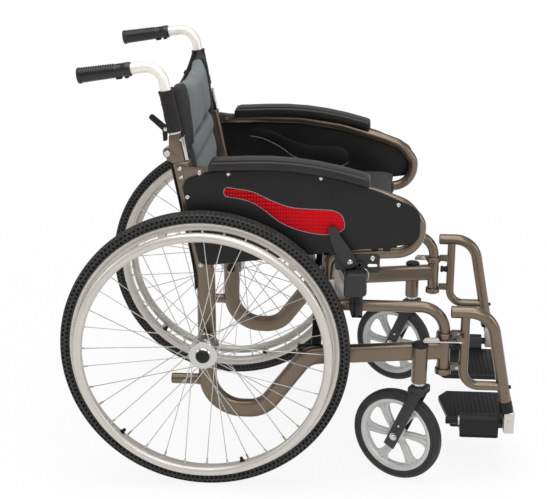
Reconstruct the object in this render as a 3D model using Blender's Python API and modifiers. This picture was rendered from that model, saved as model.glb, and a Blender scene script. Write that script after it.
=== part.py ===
"""Folding wheelchair with spoked push wheels, swivel casters, flip-back armrests,
swing-away footrests and a half-folding back.

Units are metres and +Z is up. The chair faces -Y, and +X is the sitter's left.
Stations along Y are counted from the rear axle, and heights from the floor; the
empty named wheelchair carries everything and centres the chair over the origin.
Each piece is modelled on the left side and mirrored for the right.
"""
import math

import bmesh
import bpy
from mathutils import Matrix, Vector

# Clearances
FIT = 0.0003          # between pieces that touch
RUNNING = 0.0003      # between a pin and its bore

# Rear wheels
WHEEL_RADIUS = 0.305
WHEEL_OUTSET = 0.0488  # from the frame tubes to the wheel's mid-plane
TYRE_WIDTH = 0.034
TYRE_HEIGHT = 0.0215
RIM_WIDTH = 0.026
RIM_HEIGHT = 0.0175
WHEEL_STEPS = 28
SPOKES = 36
SPOKE_THICKNESS = 0.0019
SPOKE_LEAD = math.radians(50)
HUB_BARREL_RADIUS = 0.0165
HUB_FLANGE_RADIUS = 0.030
HUB_FLANGE_THICKNESS = 0.0046
HUB_FLANGE_OFFSET = 0.0235
HUB_END_OFFSET = 0.0285
PUSHRIM_RADIUS = 0.271
PUSHRIM_TUBE_RADIUS = 0.00975
PUSHRIM_OFFSET = 0.037
PUSHRIM_TABS = 6
PUSHRIM_TAB_TURN = math.radians(43)
AXLE_RADIUS = 0.006
AXLE_CAP_RADIUS = 0.0145
AXLE_CAP_LENGTH = 0.0085
AXLE_NUT_RADIUS = 0.011
AXLE_NUT_LENGTH = 0.008

# Side frame: a flat oval tube, upright, under the axle and forward to the caster
FRAME_OUTSET = 0.0175  # from the seat's edge to the tubes' centre line
FRAME_TUBE_DEPTH = 0.038
FRAME_TUBE_WIDTH = 0.025
BACK_LEAN = math.radians(11)
UPRIGHT_BEND_Z = 0.462
UPRIGHT_TOP_Z = 0.700
LOOP_BOTTOM_Z = 0.154
LOOP_FRONT_Y = -0.119
LOWER_RAIL_REAR = (-0.212, 0.281)
LOWER_RAIL_RISE = math.radians(4.35)
STUB_Z = 0.219
STUB_LENGTH = 0.078
STUB_RADIUS = 0.0115
AXLE_BOSS_RADIUS = 0.0165

# Front frame: seat rail, bend and hinge post
SEAT_RAIL_Z = 0.398
SEAT_RAIL_RADIUS = 0.012
SEAT_RAIL_REAR_Y = -0.262
FRONT_BEND_RADIUS = 0.052
POST_Y = -0.500
POST_RADIUS = 0.0135
POST_BOTTOM_Z = 0.2625
POST_TOP_Z = 0.3305
POST_PIN_RADIUS = 0.005
POST_PIN_LENGTH = 0.020

# Casters
CASTER_RADIUS = 0.1016
CASTER_OUTSET = 0.014
CASTER_STEM_Y = -0.450
CASTER_TRAIL = 0.046
CASTER_SWIVEL = math.radians(28)
CASTER_TYRE_WIDTH = 0.026
CASTER_TYRE_HEIGHT = 0.0185
CASTER_STEPS = 18
CASTER_OPENINGS = 6
CASTER_HUB_RADIUS = 0.0165
CASTER_HUB_LENGTH = 0.030
CASTER_AXLE_RADIUS = 0.004
FORK_LEG_THICKNESS = 0.0045
FORK_LEG_WIDTH = 0.026
FORK_LEG_OVERHANG = 0.028
FORK_CROWN_GAP = 0.0048   # over the tyre
FORK_CROWN_HEIGHT = 0.018
STEM_RADIUS = 0.009
HOUSING_RADIUS = 0.0165
FORK_COLLAR_HEIGHT = 0.0085
HOUSING_TOP_Z = 0.324

# Cross brace
BRACE_Y = -0.220
BRACE_PIVOT_Z = 0.283
BRACE_ARM_THICKNESS = 0.021
BRACE_ARM_DEPTH = 0.028
BRACE_SLEEVE_RADIUS = 0.0115
BRACE_SLEEVE_LENGTH = 0.048
BRACE_PIN_RADIUS = 0.005
BRACE_BOLT_RADIUS = 0.004
SEAT_TUBE_Z = 0.525
SEAT_TUBE_RADIUS = 0.011
SEAT_TUBE_FRONT_Y = -0.396
SEAT_TUBE_REAR_Y = -0.045

# Seat
SEAT_HALF_WIDTH = 0.2275
SLING_THICKNESS = 0.003
CUSHION_THICKNESS = 0.030
CUSHION_FRONT_Y = -0.404
CUSHION_REAR_Y = -0.035

# Armrest
ARM_OUTSET = 0.010
ARM_TUBE_RADIUS = 0.0115
ARM_PIVOT = (0.008, 0.681)
ARM_TAIL = (-0.254, 0.462)
ARM_TONGUE_THICKNESS = 0.010
ARM_TONGUE_RADIUS = 0.0105
ARM_PIN_RADIUS = 0.004
PAD_WIDTH = 0.052
PANEL_THICKNESS = 0.004

# Back
CANE_RADIUS = 0.011
CANE_BRACKET_HEIGHT = 0.0585
CANE_PIVOT_OFFSET = (0.0267, 0.019)   # from the upright's top
CANE_TONGUE_THICKNESS = 0.010
CANE_TONGUE_RADIUS = 0.0105
CANE_PIN_RADIUS = 0.004
CANE_HEIGHT = 0.138
HANDLE_REACH = (0.1640, -0.0235)
HANDLE_BEND_RADIUS = 0.036
GRIP_LENGTH = 0.110
GRIP_RADIUS = 0.0145
GRIP_STEPS = 12
BACK_SPLIT_HEIGHT = 0.028   # over the upright's top
BACK_UPPER_HEIGHT = 0.122
BACK_BOTTOM_Z = 0.530
BACK_THICKNESS = 0.042
SLEEVE_WALL = 0.0022

# Brake
BRAKE_PLATE_THICKNESS = 0.004
BRAKE_PIVOT_Z = 0.507
SHOE_PIVOT_Z = 0.498
SHOE_GAP = 0.0083     # from the released shoe to the tyre
BRAKE_CLAMP_Y = -0.320
SHOE_WIDTH = 0.036
SHOE_DEPTH = 0.048
SHOE_TOP_Z = 0.4885
SHOE_BOTTOM_Z = 0.421
BRAKE_LEVER_LENGTH = 0.082
BRAKE_LEVER_THICKNESS = 0.010

# Footrest
HANGER_RADIUS = 0.0128
HANGER_TOP_Z = 0.3885
HANGER_REAR_Y = -0.513
HANGER_CORNER_Y = -0.596
HANGER_END = (-0.634, 0.190)
HANGER_BEND_RADIUS = 0.055
STRUT_RADIUS = 0.0098
STRUT_Y = -0.5425
STRUT_BOTTOM_Z = 0.2235
STRUT_BEND_RADIUS = 0.034
HINGE_RING_RADIUS = 0.0172
EXTENSION_RADIUS = 0.009
EXTENSION_INSET = 0.070
PLATE_AXLE_INSET = 0.019
PLATE_AXLE_Z = 0.131
PLATE_AXLE_RADIUS = 0.008
PLATE_TOP_Z = 0.118
PLATE_THICKNESS = 0.012
PLATE_WIDTH = 0.162
PLATE_INSET = 0.018      # from the axle to the plate's outer edge
PLATE_FRONT_Y = -0.662
PLATE_REAR_Y = -0.504
PLATE_BARREL_FRONT_Y = -0.6245
PLATE_BARREL_REAR_Y = -0.5425
PLATE_AXLE_REAR_Y = -0.512
PLATE_RIBS = 9

# Values that follow from the sizes above
CENTRE_SHIFT = (abs(PLATE_FRONT_Y) - WHEEL_RADIUS) / 2
FRAME_X = SEAT_HALF_WIDTH + FRAME_OUTSET
WHEEL_X = FRAME_X + WHEEL_OUTSET
CASTER_X = FRAME_X + CASTER_OUTSET
ARM_X = FRAME_X + ARM_OUTSET
BRACE_PIVOT_X = SEAT_HALF_WIDTH - SEAT_TUBE_RADIUS
PLATE_AXLE_X = FRAME_X - PLATE_AXLE_INSET
PLATE_OUTER_X = PLATE_AXLE_X - PLATE_INSET
PLATE_INNER_X = PLATE_OUTER_X - PLATE_WIDTH
FORK_CROWN_BOTTOM_Z = 2 * CASTER_RADIUS + FORK_CROWN_GAP
FORK_CROWN_TOP_Z = FORK_CROWN_BOTTOM_Z + FORK_CROWN_HEIGHT
HOUSING_BOTTOM_Z = FORK_CROWN_TOP_Z + FORK_COLLAR_HEIGHT
RIM_OUTER_RADIUS = WHEEL_RADIUS - TYRE_HEIGHT - FIT
RIM_INNER_RADIUS = RIM_OUTER_RADIUS - RIM_HEIGHT
FRAME_OUTER_X = FRAME_X + FRAME_TUBE_WIDTH / 2
FRAME_INNER_X = FRAME_X - FRAME_TUBE_WIDTH / 2
PANEL_INNER_X = ARM_X + ARM_TUBE_RADIUS + FIT
PANEL_OUTER_X = PANEL_INNER_X + PANEL_THICKNESS
BRAKE_PLATE_X = PANEL_INNER_X + BRAKE_PLATE_THICKNESS / 2 + 0.0004
SHOE_X = PANEL_OUTER_X + 0.003 + SHOE_WIDTH / 2
SLING_Z = SEAT_TUBE_Z + SEAT_TUBE_RADIUS + FIT + SLING_THICKNESS / 2
CUSHION_Z = SLING_Z + SLING_THICKNESS / 2 + FIT
BRACE_RISE = math.atan2(SEAT_TUBE_Z - BRACE_PIVOT_Z, 2 * BRACE_PIVOT_X)
SHOE_REAR_Y = -math.sqrt((WHEEL_RADIUS + SHOE_GAP) ** 2 - (SHOE_BOTTOM_Z - WHEEL_RADIUS) ** 2)
BRAKE_PIVOT = (SHOE_REAR_Y - 0.009, BRAKE_PIVOT_Z)
SHOE_PIVOT = (SHOE_REAR_Y - 0.029, SHOE_PIVOT_Z)


def back_y(z):
    """Station of the leaning upright's and cane's centre line at height z."""
    return max(0.0, z - UPRIGHT_BEND_Z) * math.tan(BACK_LEAN)


def rail_z(y):
    """Height of the lower rail's centre line at station y."""
    return LOWER_RAIL_REAR[1] + (LOWER_RAIL_REAR[0] - y) * math.tan(LOWER_RAIL_RISE)


CANE_PIVOT = (back_y(UPRIGHT_TOP_Z) + CANE_PIVOT_OFFSET[0], UPRIGHT_TOP_Z + CANE_PIVOT_OFFSET[1])
CANE_BOTTOM_Z = UPRIGHT_TOP_Z + CANE_BRACKET_HEIGHT
HANDLE_CORNER_Z = CANE_BOTTOM_Z + CANE_HEIGHT
HANDLE_END = (back_y(HANDLE_CORNER_Z) + HANDLE_REACH[0], HANDLE_CORNER_Z + HANDLE_REACH[1])
BACK_SPLIT_Z = UPRIGHT_TOP_Z + BACK_SPLIT_HEIGHT
BACK_TOP_Z = BACK_SPLIT_Z + BACK_UPPER_HEIGHT


# Scene and materials

def clear_scene():
    for item in list(bpy.data.objects):
        bpy.data.objects.remove(item, do_unlink=True)


def new_collection(name):
    collection = bpy.data.collections.new(name)
    bpy.context.scene.collection.children.link(collection)
    return collection


def paint(name, colour, roughness, metallic=0.0):
    material = bpy.data.materials.new(name)
    material.use_nodes = True
    shader = material.node_tree.nodes["Principled BSDF"]
    shader.inputs["Base Color"].default_value = (*colour, 1.0)
    shader.inputs["Roughness"].default_value = roughness
    shader.inputs["Metallic"].default_value = metallic
    material.diffuse_color = (*colour, 1.0)
    return material


clear_scene()
PARTS = new_collection("wheelchair")

BRONZE = paint("bronze_paint", (0.19, 0.15, 0.115), 0.35, 0.7)
SILVER = paint("silver_aluminium", (0.72, 0.70, 0.66), 0.3, 0.9)
CHROME = paint("chrome", (0.8, 0.8, 0.8), 0.12, 1.0)
GREY_CAST = paint("grey_casting", (0.55, 0.55, 0.54), 0.45, 0.4)
TYRE_RUBBER = paint("tyre_rubber", (0.03, 0.03, 0.032), 0.85)
BLACK_PLASTIC = paint("black_plastic", (0.02, 0.02, 0.021), 0.5)
DARK_GREY_PLASTIC = paint("dark_grey_plastic", (0.07, 0.07, 0.078), 0.55)
BLACK_STEEL = paint("black_steel", (0.025, 0.024, 0.024), 0.45, 0.3)
BLACK_FABRIC = paint("black_fabric", (0.025, 0.025, 0.027), 0.9)
GREY_FABRIC = paint("grey_fabric", (0.28, 0.29, 0.30), 0.95)
SEAT_FABRIC = paint("seat_fabric", (0.05, 0.052, 0.056), 0.92)


# Mesh helpers

def link(name, mesh):
    item = bpy.data.objects.new(name, mesh)
    PARTS.objects.link(item)
    return item


def from_bmesh(name, bm):
    mesh = bpy.data.meshes.new(name)
    bmesh.ops.recalc_face_normals(bm, faces=bm.faces)
    bm.to_mesh(mesh)
    bm.free()
    return link(name, mesh)


def baked(item):
    """Replace an object by the mesh that its curve and modifiers evaluate to."""
    graph = bpy.context.evaluated_depsgraph_get()
    graph.update()
    mesh = bpy.data.meshes.new_from_object(item.evaluated_get(graph))
    mesh.transform(item.matrix_world)
    bm = bmesh.new()
    bm.from_mesh(mesh)
    bmesh.ops.remove_doubles(bm, verts=bm.verts, dist=0.000005)
    name = item.name
    bpy.data.objects.remove(item, do_unlink=True)
    return from_bmesh(name, bm)


def moved(item, matrix):
    item.data.transform(matrix)
    if matrix.determinant() < 0:
        item.data.flip_normals()
    return item


def block(low, high, bevel=0.0, segments=2):
    """Box between two corners, with its edges rounded by bevel."""
    low, high = Vector(low), Vector(high)
    bm = bmesh.new()
    bmesh.ops.create_cube(bm, size=1.0)
    bmesh.ops.scale(bm, vec=high - low, verts=bm.verts)
    bmesh.ops.translate(bm, vec=(low + high) / 2, verts=bm.verts)
    if bevel > 0:
        bmesh.ops.bevel(bm, geom=list(bm.edges), offset=bevel, segments=segments,
                        profile=0.5, affect="EDGES", material=-1)
    return from_bmesh("block", bm)


def rod(start, end, radius, sides=12, end_radius=None):
    """Round bar, or cone, from start to end."""
    start, end = Vector(start), Vector(end)
    bm = bmesh.new()
    bmesh.ops.create_cone(bm, cap_ends=True, segments=sides, radius1=radius,
                          radius2=radius if end_radius is None else end_radius,
                          depth=(end - start).length)
    turn = (end - start).to_track_quat("Z", "Y").to_matrix().to_4x4()
    bmesh.ops.transform(bm, matrix=Matrix.Translation((start + end) / 2) @ turn, verts=bm.verts)
    return from_bmesh("rod", bm)


def turned(profile, steps, half_step=False):
    """Solid of revolution round X from a closed or axis-to-axis profile of (x, radius)."""
    mesh = bpy.data.meshes.new("turned")
    on_axis = profile[0][1] == 0 and profile[-1][1] == 0
    points = [(radius, 0.0, x) for x, radius in profile]
    edges = [(i, i + 1) for i in range(len(points) - 1)]
    if not on_axis:
        edges.append((len(points) - 1, 0))
    mesh.from_pydata(points, edges, [])
    item = link("turned", mesh)
    screw = item.modifiers.new("turn", "SCREW")
    screw.steps = screw.render_steps = steps
    screw.use_merge_vertices = True
    screw.merge_threshold = 0.00001
    item = baked(item)
    moved(item, Matrix.Rotation(math.pi / 2, 4, "Y"))
    if half_step:
        moved(item, Matrix.Rotation(math.pi / steps, 4, "X"))
    return item


def filleted(corners, closed=False, step=math.radians(28), chord=0.09):
    """Points of a path or outline whose corners (a, b, radius) are rounded by arcs."""
    points = []
    count = len(corners)
    for i, corner in enumerate(corners):
        here = Vector(corner[:2])
        radius = corner[2] if len(corner) > 2 else 0.0
        if radius == 0 or (not closed and i in (0, count - 1)):
            points.append(here)
            continue
        back = (Vector(corners[i - 1][:2]) - here).normalized()
        ahead = (Vector(corners[(i + 1) % count][:2]) - here).normalized()
        half = back.angle(ahead) / 2
        reach = radius / math.tan(half)
        centre = here + (back + ahead).normalized() * (radius / math.sin(half))
        first = here + back * reach - centre
        sweep = first.angle_signed(here + ahead * reach - centre)
        arcs = max(1, round(abs(sweep) / step), round(abs(sweep) * radius / chord))
        for k in range(arcs + 1):
            points.append(centre + Matrix.Rotation(-sweep * k / arcs, 2) @ first)
    return points


def curve_object(points, closed=False, dimensions="3D"):
    data = bpy.data.curves.new("curve", "CURVE")
    data.dimensions = dimensions
    spline = data.splines.new("POLY")
    spline.points.add(len(points) - 1)
    for slot, point in zip(spline.points, points):
        slot.co = (*point, 1.0) if len(point) == 3 else (*point, 0.0, 1.0)
    spline.use_cyclic_u = closed
    item = bpy.data.objects.new("curve", data)
    PARTS.objects.link(item)
    return item


# Local X and Y of a flat curve become the chair's Y and Z, and its thickness lies along X.
SIDE_PLANE = Matrix(((0, 0, 1, 0), (1, 0, 0, 0), (0, 1, 0, 0), (0, 0, 0, 1)))
# Here they become X and Z, and the thickness lies along -Y.
FRONT_PLANE = Matrix(((1, 0, 0, 0), (0, 0, -1, 0), (0, 1, 0, 0), (0, 0, 0, 1)))


def tube(path, radius, x=0.0, detail=2):
    """Round tube along a path of (y, z) points in the plane at x."""
    item = curve_object([(x, y, z) for y, z in path])
    item.data.bevel_depth = radius
    item.data.bevel_resolution = detail
    item.data.use_fill_caps = True
    return baked(item)


def oval_tube(path, depth, width, corner, x=0.0, scales=None):
    """Tube of a rounded rectangular section, depth in the side plane and width along X."""
    half_d, half_w = depth / 2, width / 2
    outline = filleted([(-half_d, -half_w, corner), (half_d, -half_w, corner),
                        (half_d, half_w, corner), (-half_d, half_w, corner)],
                       closed=True, step=math.radians(90))
    section = curve_object(outline, closed=True, dimensions="2D")
    item = curve_object(path, dimensions="2D")
    item.data.fill_mode = "NONE"
    item.data.bevel_mode = "OBJECT"
    item.data.bevel_object = section
    item.data.use_fill_caps = True
    if scales:
        for slot, scale in zip(item.data.splines[0].points, scales):
            slot.radius = scale
    item = baked(item)
    bpy.data.objects.remove(section, do_unlink=True)
    return moved(item, Matrix.Translation((x, 0, 0)) @ SIDE_PLANE)


def plate(outline, thickness, x, matrix=SIDE_PLANE):
    """Flat plate of an outline of (y, z) points, centred on the plane at x."""
    item = curve_object(outline, closed=True, dimensions="2D")
    item.data.fill_mode = "BOTH"
    item.data.extrude = thickness / 2
    item = baked(item)
    return moved(item, Matrix.Translation((x, 0, 0)) @ matrix)


def combine(target, others, operation):
    for other in others:
        change = target.modifiers.new("combine", "BOOLEAN")
        change.operation = operation
        change.object = other
        change.solver = "EXACT"
        target = baked(target)
        bpy.data.objects.remove(other, do_unlink=True)
    return target


def join(target, *others):
    return combine(target, others, "UNION")


def cut(target, *others):
    return combine(target, others, "DIFFERENCE")


def copy_of(item):
    return link(item.name, item.data.copy())


# Bodies: one empty on each joint's axis

def empty(name, position, parent=None, turn=0.0):
    item = bpy.data.objects.new(name, None)
    item.empty_display_size = 0.03
    PARTS.objects.link(item)
    item["station"] = tuple(position)
    item.location = position
    if parent is not None:
        item.parent = parent
        item.location = Vector(position) - Vector(parent["station"])
    item.rotation_euler = (0, 0, turn)
    return item


def place(item, name, material, body):
    """Name a finished solid, give it its finish and hang it on its body's empty."""
    item.name = name
    item.data.name = name
    item.data.materials.clear()
    item.data.materials.append(material)
    item.data.transform(Matrix.Translation(-Vector(body["station"])))
    item.data.shade_smooth()
    item.data.set_sharp_from_angle(angle=math.radians(35))
    item.parent = body


def place_pair(item, name, material, bodies):
    """Place a solid of the left side and its mirror image on the right."""
    right = moved(copy_of(item), Matrix.Scale(-1, 4, (1, 0, 0)))
    place(item, name + "_left", material, bodies["left"])
    place(right, name + "_right", material, bodies["right"])


def pair_of_empties(name, x, y, z, parents, turn=0.0):
    return {side: empty(f"{name}_{side}_axis", (sign * x, y, z), parents[side], turn)
            for side, sign in (("left", 1), ("right", -1))}


# Rear wheels

def rear_tyre():
    outer = WHEEL_RADIUS / math.cos(math.pi / WHEEL_STEPS)
    inner = outer - TYRE_HEIGHT
    half = TYRE_WIDTH / 2
    profile = [(-half * 0.70, inner), (-half, outer - 0.011), (-half * 0.80, outer - 0.003),
               (-half * 0.32, outer), (half * 0.32, outer), (half * 0.80, outer - 0.003),
               (half, outer - 0.011), (half * 0.70, inner)]
    return moved(turned(profile, WHEEL_STEPS, half_step=True),
                 Matrix.Translation((WHEEL_X, 0, WHEEL_RADIUS)))


def rear_rim():
    outer = WHEEL_RADIUS / math.cos(math.pi / WHEEL_STEPS) - TYRE_HEIGHT - FIT
    inner = outer - RIM_HEIGHT
    half = RIM_WIDTH / 2
    profile = [(-half, outer), (-half, inner + 0.006), (-half * 0.45, inner),
               (half * 0.45, inner), (half, inner + 0.006), (half, outer)]
    return moved(turned(profile, WHEEL_STEPS, half_step=True),
                 Matrix.Translation((WHEEL_X, 0, WHEEL_RADIUS)))


def spoke_bars():
    """All the spokes of one wheel as separate bars, laced tangentially."""
    bm = bmesh.new()
    rim_reach = RIM_INNER_RADIUS - FIT
    hub_reach = HUB_FLANGE_RADIUS - 0.0042
    lane = SPOKE_THICKNESS * 0.72
    for k in range(SPOKES):
        flange = 1 if k % 2 == 0 else -1
        lead = 1 if (k // 2) % 2 == 0 else -1
        rim_angle = 2 * math.pi * k / SPOKES
        hub_angle = rim_angle + lead * SPOKE_LEAD
        hub_x = flange * HUB_FLANGE_OFFSET + lead * SPOKE_THICKNESS * 0.62
        rim_x = flange * 0.0045 + lead * lane
        start = Vector((hub_x, hub_reach * math.cos(hub_angle), hub_reach * math.sin(hub_angle)))
        end = Vector((rim_x, rim_reach * math.cos(rim_angle), rim_reach * math.sin(rim_angle)))
        made = bmesh.ops.create_cone(bm, cap_ends=True, segments=3,
                                     radius1=SPOKE_THICKNESS / 2, radius2=SPOKE_THICKNESS / 2,
                                     depth=(end - start).length)
        turn = (end - start).to_track_quat("Z", "X").to_matrix().to_4x4()
        bmesh.ops.transform(bm, matrix=Matrix.Translation((start + end) / 2) @ turn,
                            verts=made["verts"])
    return from_bmesh("spokes", bm)


def spoked_hub():
    end, flange, half = HUB_END_OFFSET, HUB_FLANGE_OFFSET, HUB_FLANGE_THICKNESS / 2
    bore = AXLE_RADIUS + RUNNING
    profile = [(-end, bore), (-end, HUB_BARREL_RADIUS - 0.003)]
    for side in (-1, 1):
        stations = (side * flange - half, side * flange + half)
        profile += [(stations[0], HUB_BARREL_RADIUS), (stations[0], HUB_FLANGE_RADIUS),
                    (stations[1], HUB_FLANGE_RADIUS), (stations[1], HUB_BARREL_RADIUS)]
    profile += [(end, HUB_BARREL_RADIUS - 0.003), (end, bore)]
    hub = join(turned(profile, 12), spoke_bars())
    return moved(hub, Matrix.Translation((WHEEL_X, 0, WHEEL_RADIUS)))


def pushrim():
    ring_radius = PUSHRIM_RADIUS - PUSHRIM_TUBE_RADIUS
    section = [(PUSHRIM_TUBE_RADIUS * math.sin(a), ring_radius + PUSHRIM_TUBE_RADIUS * math.cos(a))
               for a in (2 * math.pi * k / 8 for k in range(8))]
    ring = moved(turned(section, WHEEL_STEPS, half_step=True),
                 Matrix.Translation((PUSHRIM_OFFSET, 0, 0)))
    foot, head = RIM_WIDTH / 2 + FIT, PUSHRIM_OFFSET - 0.002
    low, high = RIM_INNER_RADIUS + 0.008, RIM_INNER_RADIUS + 0.014
    outline = [(foot, low), (head, ring_radius), (head, ring_radius + 0.006), (foot, high)]
    tabs = []
    for k in range(PUSHRIM_TABS):
        tab = plate(outline, 0.014, 0, FRONT_PLANE)
        spin = Matrix.Rotation(2 * math.pi * k / PUSHRIM_TABS + PUSHRIM_TAB_TURN, 4, "X")
        tabs.append(moved(tab, spin))
    return moved(join(ring, *tabs), Matrix.Translation((WHEEL_X, 0, WHEEL_RADIUS)))


def rear_axle():
    cap_x = WHEEL_X + HUB_END_OFFSET + FIT
    nut_x = FRAME_INNER_X - FIT
    profile = [(nut_x - AXLE_NUT_LENGTH, 0), (nut_x - AXLE_NUT_LENGTH, AXLE_NUT_RADIUS),
               (nut_x, AXLE_NUT_RADIUS), (nut_x, AXLE_RADIUS), (cap_x, AXLE_RADIUS),
               (cap_x, AXLE_CAP_RADIUS), (cap_x + AXLE_CAP_LENGTH * 0.5, AXLE_CAP_RADIUS),
               (cap_x + AXLE_CAP_LENGTH * 0.9, AXLE_CAP_RADIUS * 0.75),
               (cap_x + AXLE_CAP_LENGTH, AXLE_CAP_RADIUS * 0.4), (cap_x + AXLE_CAP_LENGTH, 0)]
    return moved(turned(profile, 12), Matrix.Translation((0, 0, WHEEL_RADIUS)))


# Frames

def brace_lugs():
    """Two lugs on the rail's inner face with the pin that the brace sleeve turns on."""
    inner = BRACE_PIVOT_X - BRACE_PIN_RADIUS - 0.005
    outer = FRAME_INNER_X + 0.004
    half = BRACE_SLEEVE_LENGTH / 2 + FIT
    lugs = [block((inner, BRACE_Y + half, BRACE_PIVOT_Z - 0.040),
                  (outer, BRACE_Y + half + 0.005, BRACE_PIVOT_Z + 0.011)),
            block((inner, BRACE_Y - half - 0.005, BRACE_PIVOT_Z - 0.020),
                  (outer, BRACE_Y - half, BRACE_PIVOT_Z + 0.013))]
    pin = rod((BRACE_PIVOT_X, BRACE_Y - half - 0.003, BRACE_PIVOT_Z),
              (BRACE_PIVOT_X, BRACE_Y + half + 0.003, BRACE_PIVOT_Z), BRACE_PIN_RADIUS, 10)
    return [*lugs, pin]


def side_frame():
    rail_front = POST_Y + POST_RADIUS + 0.0022
    path = filleted([(back_y(UPRIGHT_TOP_Z), UPRIGHT_TOP_Z), (0, UPRIGHT_BEND_Z, 0.12),
                     (0, LOOP_BOTTOM_Z, 0.075), (LOOP_FRONT_Y, LOOP_BOTTOM_Z, 0.060),
                     (*LOWER_RAIL_REAR, 0.055), (rail_front, rail_z(rail_front))])
    frame = oval_tube(path, FRAME_TUBE_DEPTH, FRAME_TUBE_WIDTH, 0.009, FRAME_X)
    stub = rod((FRAME_X, 0.004, STUB_Z), (FRAME_X, STUB_LENGTH, STUB_Z), STUB_RADIUS, 16)
    hub_gap = WHEEL_X - HUB_END_OFFSET - FIT
    boss = rod((FRAME_X, 0, WHEEL_RADIUS), (hub_gap, 0, WHEEL_RADIUS), AXLE_BOSS_RADIUS)
    housing = rod((CASTER_X, CASTER_STEM_Y, HOUSING_BOTTOM_Z),
                  (CASTER_X, CASTER_STEM_Y, HOUSING_TOP_Z), HOUSING_RADIUS, 16)
    frame = join(frame, stub, boss, housing, *brace_lugs())
    axle_bore = rod((FRAME_X - 0.03, 0, WHEEL_RADIUS), (FRAME_X + 0.04, 0, WHEEL_RADIUS),
                    AXLE_RADIUS + RUNNING)
    stem_bore = rod((CASTER_X, CASTER_STEM_Y, HOUSING_BOTTOM_Z - 0.01),
                    (CASTER_X, CASTER_STEM_Y, HOUSING_TOP_Z - 0.030), STEM_RADIUS + RUNNING, 16)
    stub_bore = rod((FRAME_X, STUB_LENGTH - 0.012, STUB_Z), (FRAME_X, STUB_LENGTH + 0.01, STUB_Z),
                    STUB_RADIUS - 0.0025, 16)
    return cut(frame, axle_bore, stem_bore, stub_bore)


def seat_bracket():
    """Bracket on the seat rail: it carries the seat tube's saddle and the armrest's rest."""
    saddle_top = SEAT_TUBE_Z - SEAT_TUBE_RADIUS * 0.35
    saddle_rear = BRACE_Y - BRACE_ARM_THICKNESS - 0.0015
    saddle_front = saddle_rear - 0.020
    web_x = FRAME_X - SEAT_RAIL_RADIUS + 0.004
    outline = [(SEAT_RAIL_REAR_Y, SEAT_RAIL_Z), (SEAT_RAIL_REAR_Y, 0.435),
               (saddle_rear, 0.445), (saddle_rear, saddle_top), (saddle_front, saddle_top),
               (saddle_front - 0.034, 0.430), (saddle_front - 0.042, SEAT_RAIL_Z)]
    web = plate(outline, 0.005, web_x)
    saddle = block((BRACE_PIVOT_X - 0.012, saddle_front, SEAT_TUBE_Z - SEAT_TUBE_RADIUS - 0.012),
                   (web_x + 0.0025, saddle_rear, saddle_top))
    seat = rod((BRACE_PIVOT_X, saddle_front - 0.02, SEAT_TUBE_Z),
               (BRACE_PIVOT_X, saddle_rear + 0.02, SEAT_TUBE_Z), SEAT_TUBE_RADIUS + FIT, 16)
    tail_y, tail_z = ARM_TAIL
    rest_top = tail_z - ARM_TUBE_RADIUS * 0.14 - FIT
    rest = block((web_x, tail_y - 0.0150, rest_top - 0.030),
                 (ARM_X + 0.0115, tail_y + 0.0165, rest_top))
    wall = block((web_x, tail_y + 0.0130, rest_top - 0.010),
                 (ARM_X + 0.0115, tail_y + 0.0165, rest_top + 0.022))
    return join(web, cut(saddle, seat), rest, wall)


def front_frame():
    foot_z = rail_z(SEAT_RAIL_REAR_Y - SEAT_RAIL_RADIUS) + FRAME_TUBE_DEPTH / 2 + FIT
    path = filleted([(SEAT_RAIL_REAR_Y, foot_z), (SEAT_RAIL_REAR_Y, SEAT_RAIL_Z, 0.026),
                     (POST_Y, SEAT_RAIL_Z, FRONT_BEND_RADIUS), (POST_Y, POST_TOP_Z - 0.01)])
    frame = tube(path, SEAT_RAIL_RADIUS, FRAME_X)
    post = rod((FRAME_X, POST_Y, POST_BOTTOM_Z), (FRAME_X, POST_Y, POST_TOP_Z), POST_RADIUS, 16)
    pin_bore = rod((FRAME_X, POST_Y, POST_BOTTOM_Z - 0.01),
                   (FRAME_X, POST_Y, POST_BOTTOM_Z + POST_PIN_LENGTH + 0.003),
                   POST_PIN_RADIUS + RUNNING)
    return cut(join(frame, post, seat_bracket()), pin_bore)


# Casters, modelled with the wheel trailing straight behind the stem

def fork_leg(side):
    centre = CASTER_HUB_LENGTH / 2 + FIT * 2 + FORK_LEG_THICKNESS / 2
    slant = math.atan2(CASTER_TRAIL, FORK_CROWN_BOTTOM_Z - CASTER_RADIUS)
    length = math.hypot(CASTER_TRAIL, FORK_CROWN_BOTTOM_Z - CASTER_RADIUS)
    leg = block((-FORK_LEG_THICKNESS / 2, -FORK_LEG_WIDTH / 2, -FORK_LEG_OVERHANG),
                (FORK_LEG_THICKNESS / 2, FORK_LEG_WIDTH / 2, length + 0.012))
    turn = Matrix.Translation((CASTER_X + side * centre, CASTER_STEM_Y + CASTER_TRAIL,
                               CASTER_RADIUS)) @ Matrix.Rotation(slant, 4, "X")
    return moved(leg, turn)


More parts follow.
